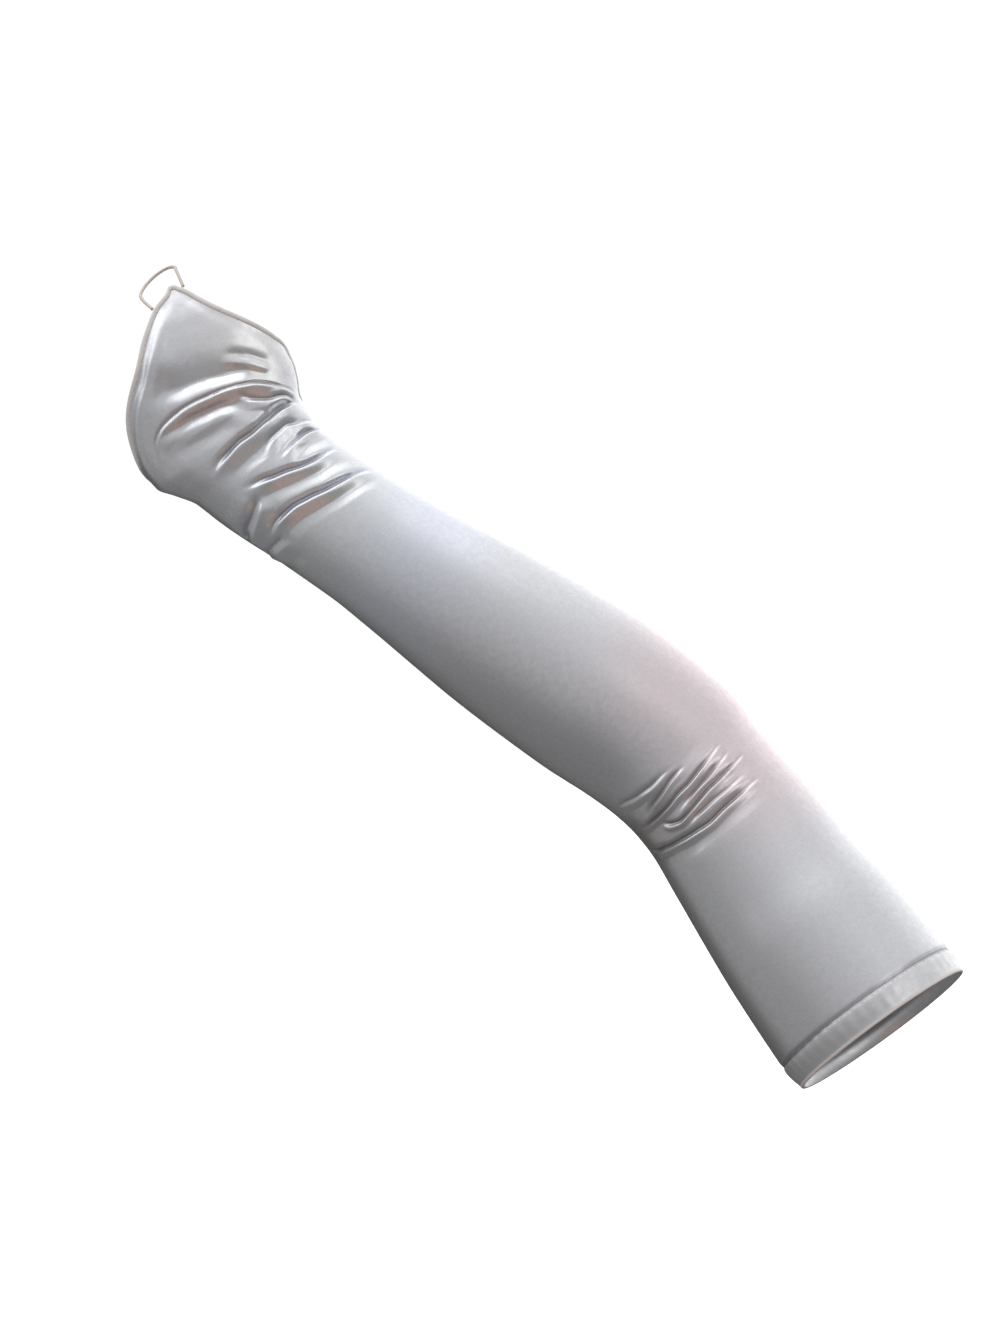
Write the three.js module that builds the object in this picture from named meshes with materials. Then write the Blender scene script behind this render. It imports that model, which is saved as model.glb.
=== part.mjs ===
// An elbow-length evening mitten for a right arm, in millimetres: a long stretch-satin sleeve without
// fingers, whose edge runs to a point on the back of the hand and is held by a loop round the middle
// finger. It has its worn form. The origin is the middle of the wrist, +Z runs along the forearm
// towards the hand, the back of the hand faces -Y and the little finger's side faces +X.
import * as THREE from 'three';

// Lengths along the arm
const upperArmLength = 148.5; // elbow crease to the upper rim
const forearmLength = 220; // elbow crease to the wrist
const handLength = 90; // wrist to the tip of the point

// Widths, seen on the back of the hand, and depths from the back of the arm to the palm's side
const upperArmWidth = 87.4;
const upperArmDepth = 86;
const elbowWidth = 71;
const elbowDepth = 72;
const forearmWidth = 77;
const forearmDepth = 69;
const wristWidth = 57.5;
const wristDepth = 42;
const handWidth = 81.7;
const handDepth = 32;

// Bends of the arm, in degrees, and the length over which each one turns
const elbowBend = 19.6;
const elbowBendLength = 90;
const upperArmTilt = 11; // the upper arm comes forward
const wristBend = 34;
const wristBendLength = 70;
const wristBendAt = 14; // its middle, past the wrist

// Cloth and trim
const clothThickness = 1;
const rimHemWidth = 12.2;
const rimHemThickness = 1.8;
const edgeHemWidth = 2.3;
const edgeHemThickness = 1.7;
const hemStep = 0.35; // how far a hem stands out from the cloth beside it
const seamGap = 0.3;

// The loop and the finger that it goes round
const loopCordDiameter = 1.5;
const fingerWidth = 19;
const fingerDepth = 18;
const fingerOffset = 4.6; // from the arm's middle towards the thumb
const loopRise = 3.5; // from the tip of the point to the middle of the loop
const loopSlant = 2.9; // its little-finger side lies this much further up the finger
const loopPalmRise = 2; // and so does its palm side
const loopEnds = { outer: 84, inner: 102 }; // turns at which it is sewn to the edge
const loopTurns = [12, -20, -55, -90, -125, -160, -195]; // its places round the finger

// Folds
const wristFoldHeight = 1.5;
const wristFoldWidth = 5;
const elbowFoldHeight = 0.9;
const elbowFoldWidth = 3;
const foldFade = 6; // folds die out over this length at the edge
const foldTaper = 0.25; // and over this share of their own length at both ends

// Places along the arm, from the wrist
const elbowAt = -forearmLength;
const rimAt = elbowAt - upperArmLength;
const alongUpperArm = (share) => elbowAt - share * upperArmLength;
const alongForearm = (share) => -share * forearmLength;
const alongHand = (share) => share * handLength;
const alongElbow = (share) => elbowAt + share * elbowBendLength;

// Sections of the sleeve. outer and inner are shares of the width that the section follows, from the
// middle line to the little finger's side and to the thumb's. back and palm are shares of its depth.
// square is the exponent of the rounded section: 2 is an ellipse, more is boxier.
const upperArm = { width: upperArmWidth, depth: upperArmDepth };
const elbow = { width: elbowWidth, depth: elbowDepth };
const forearm = { width: forearmWidth, depth: forearmDepth };
const wrist = { width: wristWidth, depth: wristDepth };
const hand = { width: handWidth, depth: handDepth };
const sections = [
  { along: alongUpperArm(1.0), of: upperArm, outer: 0.483, inner: 0.494, back: 0.48, palm: 0.48, square: 2 },
  { along: alongUpperArm(0.93), of: upperArm, outer: 0.494, inner: 0.515, back: 0.5, palm: 0.5, square: 2 },
  { along: alongUpperArm(0.83), of: upperArm, outer: 0.49, inner: 0.51, back: 0.495, palm: 0.495, square: 2 },
  { along: alongUpperArm(0.65), of: upperArm, outer: 0.473, inner: 0.494, back: 0.48, palm: 0.47, square: 2 },
  { along: alongUpperArm(0.49), of: upperArm, outer: 0.437, inner: 0.469, back: 0.45, palm: 0.45, square: 2 },
  { along: alongUpperArm(0.33), of: upperArm, outer: 0.426, inner: 0.44, back: 0.43, palm: 0.43, square: 2 },
  { along: alongUpperArm(0.15), of: elbow, outer: 0.496, inner: 0.506, back: 0.5, palm: 0.5, square: 2 },
  { along: alongUpperArm(0.08), of: elbow, outer: 0.5, inner: 0.504, back: 0.49, palm: 0.49, square: 2 },
  { along: alongForearm(1.0), of: forearm, outer: 0.486, inner: 0.47, back: 0.5, palm: 0.5, square: 2 },
  { along: alongForearm(0.9), of: forearm, outer: 0.497, inner: 0.486, back: 0.5, palm: 0.5, square: 2 },
  { along: alongForearm(0.8), of: forearm, outer: 0.506, inner: 0.499, back: 0.5, palm: 0.5, square: 2 },
  { along: alongForearm(0.68), of: forearm, outer: 0.49, inner: 0.49, back: 0.485, palm: 0.485, square: 2 },
  { along: alongForearm(0.57), of: forearm, outer: 0.465, inner: 0.473, back: 0.46, palm: 0.46, square: 2 },
  { along: alongForearm(0.46), of: forearm, outer: 0.436, inner: 0.442, back: 0.42, palm: 0.42, square: 2 },
  { along: alongForearm(0.35), of: forearm, outer: 0.397, inner: 0.409, back: 0.375, palm: 0.375, square: 2 },
  { along: alongForearm(0.245), of: wrist, outer: 0.505, inner: 0.517, back: 0.55, palm: 0.55, square: 2 },
  { along: alongForearm(0.135), of: wrist, outer: 0.496, inner: 0.513, back: 0.51, palm: 0.51, square: 2.05 },
  { along: alongForearm(0.055), of: wrist, outer: 0.5, inner: 0.525, back: 0.5, palm: 0.5, square: 2.1 },
  { along: alongHand(0.0), of: hand, outer: 0.377, inner: 0.382, back: 0.64, palm: 0.65, square: 2.1 },
  { along: alongHand(0.09), of: hand, outer: 0.386, inner: 0.397, back: 0.61, palm: 0.64, square: 2.15 },
  { along: alongHand(0.165), of: hand, outer: 0.395, inner: 0.457, back: 0.58, palm: 0.62, square: 2.2 },
  { along: alongHand(0.22), of: hand, outer: 0.412, inner: 0.517, back: 0.56, palm: 0.6, square: 2.2 },
  { along: alongHand(0.31), of: hand, outer: 0.441, inner: 0.538, back: 0.53, palm: 0.58, square: 2.2 },
  { along: alongHand(0.44), of: hand, outer: 0.461, inner: 0.538, back: 0.51, palm: 0.56, square: 2.2 },
  { along: alongHand(0.66), of: hand, outer: 0.461, inner: 0.538, back: 0.49, palm: 0.54, square: 2.2 },
  { along: alongHand(1.06), of: hand, outer: 0.45, inner: 0.53, back: 0.45, palm: 0.5, square: 2.2 },
];

// The edge at the hand. turn goes round the arm in degrees: 0 on the little finger's side, 90 on the
// back of the hand, 180 on the thumb's side and 270 or -90 on the palm. reach is a share of handLength.
const edge = [
  { turn: -90, reach: 0.17 },
  { turn: -20, reach: 0.143 },
  { turn: -4, reach: 0.155 },
  { turn: 2, reach: 0.2 },
  { turn: 4.5, reach: 0.3 },
  { turn: 7, reach: 0.44 },
  { turn: 10, reach: 0.524 },
  { turn: 26, reach: 0.599 },
  { turn: 50, reach: 0.72 },
  { turn: 67, reach: 0.824 },
  { turn: 76, reach: 0.896 },
  { turn: 84, reach: 0.967 },
  { turn: 90, reach: 1 },
  { turn: 93, reach: 0.972 },
  { turn: 100.5, reach: 0.929 },
  { turn: 113.5, reach: 0.813 },
  { turn: 127, reach: 0.675 },
  { turn: 144, reach: 0.55 },
  { turn: 159, reach: 0.445 },
  { turn: 171, reach: 0.352 },
  { turn: 180, reach: 0.3 },
  { turn: 195, reach: 0.25 },
  { turn: 210, reach: 0.222 },
  { turn: 240, reach: 0.19 },
  { turn: 270, reach: 0.17 },
];

// Folds. Each has a line through three places, [share along, turn]. On the hand's side of the line the
// cloth falls into a crease, at the line it rises to a crest, and past the crest it drops back.
// height is a share of the fold height, and fall, rise and drop are shares of the fold width.
// Wrist folds: the share along is of handLength. They fan out from the little finger's side.
const wristFolds = [
  { from: [0.53, 112], via: [0.49, 82], to: [0.27, 22], height: 1.1, fall: 2.8, rise: 1.3, drop: 0.8 },
  { from: [0.36, 130], via: [0.42, 102], to: [0.4, 67], height: 0.8, fall: 0.7, rise: 0.5, drop: 1.2 },
  { from: [0.4, 76], via: [0.28, 60], to: [0.15, 18], height: 0.7, fall: 0.8, rise: 0.5, drop: 0.7 },
  { from: [0.33, 128], via: [0.34, 88], to: [0.13, 22], height: 0.9, fall: 1.1, rise: 0.8, drop: 1.5 },
  { from: [0.12, 122], via: [0.155, 85], to: [0.12, 24], height: 1.3, fall: 1.2, rise: 0.6, drop: 1.2 },
  { from: [0.08, 106], via: [0.04, 70], to: [-0.08, 24], height: 0.9, fall: 1, rise: 0.8, drop: 0.8 },
  { from: [-0.02, 78], via: [-0.03, 56], to: [-0.09, 32], height: 0.7, fall: 0.6, rise: 0.5, drop: 0.9 },
  { from: [0.02, 120], via: [-0.08, 88], to: [-0.24, 44], height: 1.1, fall: 0.9, rise: 0.6, drop: 1.2 },
  { from: [-0.19, 128], via: [-0.25, 88], to: [-0.45, 24], height: 1.1, fall: 0.9, rise: 0.6, drop: 1.1 },
  { from: [-0.06, 112], via: [-0.08, 134], to: [-0.14, 168], height: 0.9, fall: 1, rise: 1, drop: 1.2 },
];

// Elbow folds: the share along is of elbowBendLength, from the elbow crease.
const elbowFolds = [
  { from: [0.03, 152], via: [-0.02, 116], to: [-0.05, 84], height: 0.6, fall: 1.2, rise: 0.8, drop: 1.2 },
  { from: [-0.12, 134], via: [-0.1, 112], to: [-0.09, 86], height: 0.7, fall: 1, rise: 0.6, drop: 0.8 },
  { from: [-0.17, 164], via: [-0.14, 110], to: [-0.08, 58], height: 1.1, fall: 1, rise: 0.6, drop: 0.9 },
  { from: [-0.2, 116], via: [-0.175, 88], to: [-0.15, 58], height: 0.7, fall: 0.8, rise: 0.6, drop: 0.7 },
  { from: [-0.25, 130], via: [-0.225, 96], to: [-0.19, 48], height: 1, fall: 0.9, rise: 0.6, drop: 1 },
  { from: [-0.29, 132], via: [-0.275, 96], to: [-0.25, 54], height: 0.8, fall: 0.9, rise: 0.6, drop: 0.9 },
  { from: [-0.26, 166], via: [-0.345, 112], to: [-0.315, 56], height: 1.1, fall: 1, rise: 0.6, drop: 1.2 },
];

// How finely the sleeve is faceted
const columnCount = 40;
const columnBias = 0.3; // columns stand closer on the back of the hand than on the palm
const columnEvenness = 0.4; // mm for each degree, which keeps some columns on the short palm edge
const handZoneAt = -0.1 * handLength; // from here on the rows lean over to follow the edge
const handZoneRows = { folded: 15, smooth: 6, foldedShare: 0.55 };
const armRows = [
  { to: alongForearm(0.27), count: 14 },
  { to: alongForearm(0.92), count: 7 },
  { to: alongUpperArm(0.26), count: 16 },
  { to: rimAt + rimHemWidth + seamGap, count: 5 },
];
const edgeSlopeSpan = 5; // degrees either side, over which the edge's direction is taken
const foldMarkCount = 24;
const loopSides = 8;
const loopSteps = 32;
const middleStep = 1; // mm between the places that make up the middle line
const middleSpare = 40; // mm by which it runs on past the rim and the tip
const hemCorner = 0.3; // share of a hem's thickness that its corners are cut by

function ease(share) {
  const t = Math.min(Math.max(share, 0), 1);
  return t * t * (3 - 2 * t);
}

function degrees(angle) {
  return (angle * Math.PI) / 180;
}

// A smooth curve through a table's values that never swings past its neighbours.
function curveThrough(places, values) {
  const steps = places.slice(1).map((place, i) => place - places[i]);
  const slants = steps.map((step, i) => (values[i + 1] - values[i]) / step);
  const slopes = places.map((_, i) => {
    const before = slants[Math.max(i - 1, 0)];
    const after = slants[Math.min(i, slants.length - 1)];
    return before * after <= 0 ? 0 : (2 * before * after) / (before + after);
  });
  return (place) => {
    let i = places.length - 2;
    while (i > 0 && places[i] > place) i -= 1;
    const t = Math.min(Math.max((place - places[i]) / steps[i], 0), 1);
    const blend = t * t * (3 - 2 * t);
    return (
      values[i] * (1 - blend) +
      values[i + 1] * blend +
      steps[i] * t * (1 - t) * (slopes[i] * (1 - t) - slopes[i + 1] * t)
    );
  };
}

const sectionPlaces = sections.map((row) => row.along);
const sectionCurve = (size) => curveThrough(sectionPlaces, sections.map(size));
const outerAt = sectionCurve((row) => row.outer * row.of.width);
const innerAt = sectionCurve((row) => row.inner * row.of.width);
const backAt = sectionCurve((row) => row.back * row.of.depth);
const palmAt = sectionCurve((row) => row.palm * row.of.depth);
const squareAt = sectionCurve((row) => row.square);
const reachAt = curveThrough(edge.map((row) => row.turn), edge.map((row) => row.reach));

// The arm's direction, towards the hand
function directionAt(along) {
  const pastElbow = ease((along - elbowAt) / elbowBendLength + 0.5);
  const pastWrist = ease((along - wristBendAt) / wristBendLength + 0.5);
  const sway = degrees(elbowBend * (1 - pastElbow) + wristBend * pastWrist);
  const tilt = degrees(upperArmTilt * (1 - pastElbow));
  const ahead = new THREE.Vector3(
    Math.sin(sway) * Math.cos(tilt),
    Math.sin(tilt),
    Math.cos(sway) * Math.cos(tilt),
  );
  const across = new THREE.Vector3(Math.cos(sway), 0, -Math.sin(sway));
  return { ahead, across, toPalm: ahead.clone().cross(across) };
}

// The arm's middle line, stepped out both ways from the wrist
function middleLine() {
  const walk = (end) => {
    const places = [new THREE.Vector3()];
    const way = Math.sign(end);
    for (let i = 0; i * middleStep < Math.abs(end); i += 1) {
      const { ahead } = directionAt(way * middleStep * (i + 0.5));
      places.push(places[i].clone().addScaledVector(ahead, way * middleStep));
    }
    return places;
  };
  const toHand = walk(handLength + middleSpare);
  const toRim = walk(rimAt - middleSpare);
  return (along) => {
    const places = along < 0 ? toRim : toHand;
    const count = Math.abs(along) / middleStep;
    const i = Math.min(Math.floor(count), places.length - 2);
    return places[i].clone().lerp(places[i + 1], count - i);
  };
}
const middleAt = middleLine();

// A place on the smooth sleeve, with no folds
function smoothPlace(along, turn) {
  const { across, toPalm } = directionAt(along);
  const cos = Math.cos(degrees(turn));
  const sin = Math.sin(degrees(turn));
  const power = 2 / squareAt(along);
  const width = Math.sign(cos) * (cos > 0 ? outerAt(along) : innerAt(along)) * Math.abs(cos) ** power;
  const depth = -Math.sign(sin) * (sin > 0 ? backAt(along) : palmAt(along)) * Math.abs(sin) ** power;
  return middleAt(along).addScaledVector(across, width).addScaledVector(toPalm, depth);
}

// The same place with its two directions in the cloth and its outward normal
function clothPlace(along, turn) {
  const nearby = 0.5;
  const alongStep = smoothPlace(along + nearby, turn).sub(smoothPlace(along - nearby, turn));
  const turnStep = smoothPlace(along, turn + nearby).sub(smoothPlace(along, turn - nearby));
  return {
    along,
    turn,
    point: smoothPlace(along, turn),
    ahead: alongStep.clone().normalize(),
    mmPerDegree: turnStep.length() / (2 * nearby),
    normal: alongStep.clone().cross(turnStep).normalize(),
  };
}

// Each fold's line as marks on the smooth sleeve, with the direction across the line towards the hand
function markFold(fold, alongOf, foldHeight, foldWidth) {
  const placeAt = (t) => {
    const pulls = [(1 - t) * (1 - 2 * t), 4 * t * (1 - t), t * (2 * t - 1)];
    const [alongShare, turn] = [0, 1].map(
      (i) => fold.from[i] * pulls[0] + fold.via[i] * pulls[1] + fold.to[i] * pulls[2],
    );
    return clothPlace(alongOf(alongShare), turn);
  };
  const places = Array.from({ length: foldMarkCount + 1 }, (_, i) => placeAt(i / foldMarkCount));
  const marks = places.map((place, i) => {
    const before = places[Math.max(i - 1, 0)].point;
    const after = places[Math.min(i + 1, foldMarkCount)].point;
    const toHand = after.clone().sub(before).cross(place.normal).normalize();
    if (toHand.dot(place.ahead) < 0) toHand.negate();
    return { point: place.point, toHand, share: i / foldMarkCount };
  });
  return {
    marks,
    height: fold.height * foldHeight,
    fall: fold.fall * foldWidth,
    rise: fold.rise * foldWidth,
    drop: fold.drop * foldWidth,
  };
}
const folds = [
  ...wristFolds.map((fold) => markFold(fold, alongHand, wristFoldHeight, wristFoldWidth)),
  ...elbowFolds.map((fold) => markFold(fold, alongElbow, elbowFoldHeight, elbowFoldWidth)),
];

function heightOfFold(fold, point) {
  const distances = fold.marks.map((mark) => mark.point.distanceToSquared(point));
  const nearest = fold.marks[distances.indexOf(Math.min(...distances))];
  const past = nearest.point.clone().sub(point).dot(nearest.toHand);
  const half = fold.rise / 2;
  let shape = 2 * ease((past + half) / fold.rise) - 1;
  if (past < -half) shape = -ease(1 + (past + half) / fold.fall);
  if (past > half) shape = ease(1 - (past - half) / fold.drop);
  const taper = ease(nearest.share / foldTaper) * ease((1 - nearest.share) / foldTaper);
  return fold.height * shape * taper;
}

// The cloth at one place, as a function of lift, the distance outwards from its outer face
function clothAt(along, turn) {
  const place = clothPlace(along, turn);
  const toEdge = alongHand(reachAt(turn)) - along;
  const height = folds.reduce((sum, fold) => sum + heightOfFold(fold, place.point), 0);
  const face = place.point.addScaledVector(place.normal, height * ease(toEdge / foldFade));
  return (lift) => face.clone().addScaledVector(place.normal, lift);
}

// The columns' turns: round the arm, and where they end on the edge, with one of them on its tip
const columnShares = Array.from({ length: columnCount }, (_, i) => i / columnCount);
const ringTurns = columnShares.map(
  (share) => -90 + 360 * (share + (columnBias * Math.sin(2 * Math.PI * share)) / (2 * Math.PI)),
);

function spreadAlongEdge() {
  const degreesEach = 0.5;
  const turns = [-90];
  const reached = [0];
  let before = smoothPlace(alongHand(reachAt(-90)), -90);
  while (turns.at(-1) < 270) {
    const turn = turns.at(-1) + degreesEach;
    const point = smoothPlace(alongHand(reachAt(turn)), turn);
    reached.push(reached.at(-1) + point.distanceTo(before) + columnEvenness * degreesEach);
    turns.push(turn);
    before = point;
  }
  const tip = turns.indexOf(90);
  return columnShares.map((share) => {
    const target =
      share < 0.5
        ? reached[tip] * 2 * share
        : reached[tip] + (reached.at(-1) - reached[tip]) * (2 * share - 1);
    return turns[reached.findIndex((length) => length >= target - 1e-9)];
  });
}
const edgeTurns = spreadAlongEdge();

// The place in the cloth that lies a given distance inside the edge, square to it
function insideEdge(turn, inset) {
  const along = alongHand(reachAt(turn));
  const { mmPerDegree } = clothPlace(along, turn);
  const climb =
    alongHand(reachAt(turn + edgeSlopeSpan) - reachAt(turn - edgeSlopeSpan)) / (2 * edgeSlopeSpan);
  const length = Math.hypot(climb, mmPerDegree);
  return {
    along: along - (inset * mmPerDegree) / length,
    turn: turn + (inset * climb) / (length * mmPerDegree),
  };
}

// A closed body whose loop of profile points is carried round the arm and back to its start
function bandGeometry(columns) {
  const count = columns.length;
  const size = columns[0].length;
  const vertices = columns.flat();
  const at = (k, j) => (k % count) * size + (j % size);
  const faces = [];
  for (let k = 0; k < count; k += 1) {
    for (let j = 0; j < size; j += 1) {
      const [a, b, c, d] = [at(k, j), at(k + 1, j), at(k + 1, j + 1), at(k, j + 1)];
      const shorter = vertices[a].distanceTo(vertices[c]) <= vertices[b].distanceTo(vertices[d]);
      faces.push(...(shorter ? [a, b, c, a, c, d] : [a, b, d, b, c, d]));
    }
  }
  const geometry = new THREE.BufferGeometry().setFromPoints(vertices);
  geometry.setIndex(faces);
  geometry.computeVertexNormals();
  return geometry;
}

// One column of the sleeve: its places from the hand's edge down to the upper hem
function sleeveColumn(k) {
  const end = insideEdge(edgeTurns[k], edgeHemWidth + seamGap);
  const { folded, smooth, foldedShare } = handZoneRows;
  const shares = [
    ...Array.from({ length: smooth }, (_, i) => 1 - ((1 - foldedShare) * i) / smooth),
    ...Array.from({ length: folded }, (_, i) => foldedShare * (1 - i / folded)),
  ];
  const places = shares.map((share) => ({
    along: handZoneAt + (end.along - handZoneAt) * share,
    turn: ringTurns[k] + (end.turn - ringTurns[k]) * share,
  }));
  let from = handZoneAt;
  for (const { to, count } of armRows) {
    for (let i = 0; i < count; i += 1) {
      places.push({ along: from + ((to - from) * i) / count, turn: ringTurns[k] });
    }
    from = to;
  }
  places.push({ along: from, turn: ringTurns[k] });
  return places;
}

function sleeveGeometry() {
  const columns = columnShares.map((_, k) => {
    const cloth = sleeveColumn(k).map(({ along, turn }) => clothAt(along, turn));
    const outside = cloth.map((at) => at(0));
    const inside = cloth.map((at) => at(-clothThickness));
    return [...outside, ...inside.reverse()];
  });
  return bandGeometry(columns);
}

// A hem's section: how far in from its free edge, and how far out from the cloth's face
function hemProfile(width, thickness) {
  const top = hemStep;
  const bottom = hemStep - thickness;
  const corner = Math.min(hemCorner * thickness, width / 4);
  return [
    { inset: 0, lift: top - corner },
    { inset: corner, lift: top },
    { inset: width - corner, lift: top },
    { inset: width, lift: top - corner },
    { inset: width, lift: bottom + corner },
    { inset: width - corner, lift: bottom },
    { inset: corner, lift: bottom },
    { inset: 0, lift: bottom + corner },
  ];
}

function edgeHemGeometry() {
  const profile = hemProfile(edgeHemWidth, edgeHemThickness);
  const columns = edgeTurns.map((edgeTurn) =>
    profile.map(({ inset, lift }) => {
      const { along, turn } = insideEdge(edgeTurn, inset);
      return clothAt(along, turn)(lift);
    }),
  );
  return bandGeometry(columns);
}

function rimHemGeometry() {
  const profile = hemProfile(rimHemWidth, rimHemThickness);
  const columns = ringTurns.map((turn) =>
    profile.map(({ inset, lift }) => clothAt(rimAt + inset, turn)(lift)).reverse(),
  );
  return bandGeometry(columns);
}

// The loop starts at the edge beside the tip, goes round the palm's side of the finger and comes back
function loopGeometry() {
  const along = handLength + loopRise;
  const { ahead, across, toPalm } = directionAt(along);
  const backOfFinger = hemStep - backAt(handLength);
  const middle = middleAt(along)
    .addScaledVector(across, -fingerOffset)
    .addScaledVector(toPalm, backOfFinger + fingerDepth / 2);
  const ringPlace = (turn) =>
    middle
      .clone()
      .addScaledVector(across, (fingerWidth / 2) * Math.cos(degrees(turn)))
      .addScaledVector(toPalm, (-fingerDepth / 2) * Math.sin(degrees(turn)))
      .addScaledVector(ahead, loopSlant * Math.cos(degrees(turn)) - loopPalmRise * Math.sin(degrees(turn)));
  const endPlace = (turn) => {
    const { along: endAlong, turn: endTurn } = insideEdge(turn, -(seamGap + loopCordDiameter / 4));
    return clothAt(endAlong, endTurn)(hemStep - edgeHemThickness / 2);
  };
  const route = new THREE.CatmullRomCurve3([
    endPlace(loopEnds.outer),
    ...loopTurns.map(ringPlace),
    endPlace(loopEnds.inner),
  ]);
  const section = new THREE.Shape().absarc(0, 0, loopCordDiameter / 2, 0, 2 * Math.PI);
  return new THREE.ExtrudeGeometry(section, {
    steps: loopSteps,
    curveSegments: loopSides / 2,
    extrudePath: route,
  });
}

function piece(name, geometry, material) {
  const mesh = new THREE.Mesh(geometry, material);
  mesh.name = name;
  return mesh;
}

const satin = new THREE.MeshStandardMaterial({ color: 0xd5d5db, roughness: 0.35, metalness: 0.15 });
const turnedSatin = new THREE.MeshStandardMaterial({ color: 0xe2dfde, roughness: 0.4, metalness: 0.1 });
const elasticCord = new THREE.MeshStandardMaterial({ color: 0xe6dcd2, roughness: 0.7, metalness: 0 });

const mitten = new THREE.Group();
mitten.add(
  piece('sleeve', sleeveGeometry(), satin),
  piece('upper_hem', rimHemGeometry(), turnedSatin),
  piece('hand_hem', edgeHemGeometry(), turnedSatin),
  piece('finger_loop', loopGeometry(), elasticCord),
);

export default mitten;
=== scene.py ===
"""Evening mitten: a fingerless stretch-satin glove for a right arm, dressed in its worn form.

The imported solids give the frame. Each piece follows its solid's widths, edge and bends, but is fine
enough to show the cloth, its folds and its stitches. Lengths in the tables are in
millimetres and angles in degrees; meshes are in metres. The wrist is the origin, +Z runs towards the
hand, the back of the hand faces -Y and the little finger's side faces +X.
"""

from __future__ import annotations

import logging
from collections.abc import Callable, Sequence
from dataclasses import dataclass, field
from enum import Enum

import bmesh
import bpy
import numpy as np
from mathutils import Matrix, Vector, noise


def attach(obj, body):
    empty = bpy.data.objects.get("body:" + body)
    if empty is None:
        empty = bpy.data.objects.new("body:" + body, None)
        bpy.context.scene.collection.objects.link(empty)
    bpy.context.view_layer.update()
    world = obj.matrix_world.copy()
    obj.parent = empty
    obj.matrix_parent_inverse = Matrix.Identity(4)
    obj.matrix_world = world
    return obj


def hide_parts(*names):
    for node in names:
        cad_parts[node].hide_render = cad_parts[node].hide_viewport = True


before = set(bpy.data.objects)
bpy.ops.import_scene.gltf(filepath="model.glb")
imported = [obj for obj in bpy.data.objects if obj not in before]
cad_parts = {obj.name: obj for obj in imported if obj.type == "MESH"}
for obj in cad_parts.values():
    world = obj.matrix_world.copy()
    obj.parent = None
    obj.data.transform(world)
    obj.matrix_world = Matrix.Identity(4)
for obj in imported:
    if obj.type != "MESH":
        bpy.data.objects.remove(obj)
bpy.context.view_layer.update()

LOG = logging.getLogger("evening_mitten")
MM = 0.001
BODY = "root"


def ease(share: np.ndarray) -> np.ndarray:
    """Smooth step from 0 to 1 over shares 0 to 1."""
    t = np.clip(share, 0.0, 1.0)
    return t * t * (3.0 - 2.0 * t)


def bell(distance: np.ndarray, width: float) -> np.ndarray:
    """A soft bump of height 1 that is gone at about twice its width."""
    return np.exp(-((distance / width) ** 2))


def unit(vectors: np.ndarray) -> np.ndarray:
    """The same directions with length 1."""
    return vectors / np.linalg.norm(vectors, axis=-1, keepdims=True)


def on_line(place: np.ndarray | float, places: np.ndarray, points: np.ndarray) -> np.ndarray:
    """Finds points between the stepped points of a line.

    Args:
        place: the places to find.
        places: the places of the stepped points, rising.
        points: the stepped points or directions.

    Returns:
        A point for each place.
    """
    return np.stack([np.interp(place, places, points[:, i]) for i in range(3)], -1)


def curve_through(places: Sequence[float], values: Sequence[float]) -> Callable[[np.ndarray], np.ndarray]:
    """A smooth curve through a table that never swings past its neighbours.

    Args:
        places: where the values stand, rising.
        values: the value at each place.

    Returns:
        A function of place, for numbers or arrays.
    """
    at = np.asarray(places, float)
    val = np.asarray(values, float)
    steps = np.diff(at)
    slants = np.diff(val) / steps
    before = np.concatenate([slants[:1], slants])
    after = np.concatenate([slants, slants[-1:]])
    product = before * after
    total = np.where(np.abs(before + after) < 1e-12, 1.0, before + after)
    slopes = np.where(product <= 0, 0.0, 2 * product / total)

    def curve(place: np.ndarray) -> np.ndarray:
        """The curve at places along the table.

        Args:
            place: the places, held to the table's ends.

        Returns:
            The value at each place.
        """
        i = np.clip(np.searchsorted(at, place, side="right") - 1, 0, len(steps) - 1)
        t = np.clip((place - at[i]) / steps[i], 0.0, 1.0)
        blend = t * t * (3 - 2 * t)
        bend = steps[i] * t * (1 - t) * (slopes[i] * (1 - t) - slopes[i + 1] * t)
        return val[i] * (1 - blend) + val[i + 1] * blend + bend

    return curve


class Span(Enum):
    """The lengths of arm that a section's place is a share of."""

    UPPER_ARM = "upper arm"
    FOREARM = "forearm"
    HAND = "hand"


class Girth(Enum):
    """The places whose width and depth a section follows: (width, depth) in mm."""

    UPPER_ARM = (87.4, 86.0)
    ELBOW = (71.0, 72.0)
    FOREARM = (77.0, 69.0)
    WRIST = (57.5, 42.0)
    HAND = (81.7, 32.0)


class Slot(Enum):
    """The record's material slots."""

    SATIN = "satin"
    TURNED_SATIN = "turned_satin"
    ELASTIC_CORD = "elastic_cord"


@dataclass(frozen=True)
class Section:
    """One section of the sleeve.

    outer and inner are shares of the girth's width, to the little finger's side and to the thumb's.
    back and palm are shares of its depth. square is 2 for an ellipse and more for a boxier section.
    """

    span: Span
    share: float
    girth: Girth
    outer: float
    inner: float
    back: float
    palm: float
    square: float = 2.0


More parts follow.
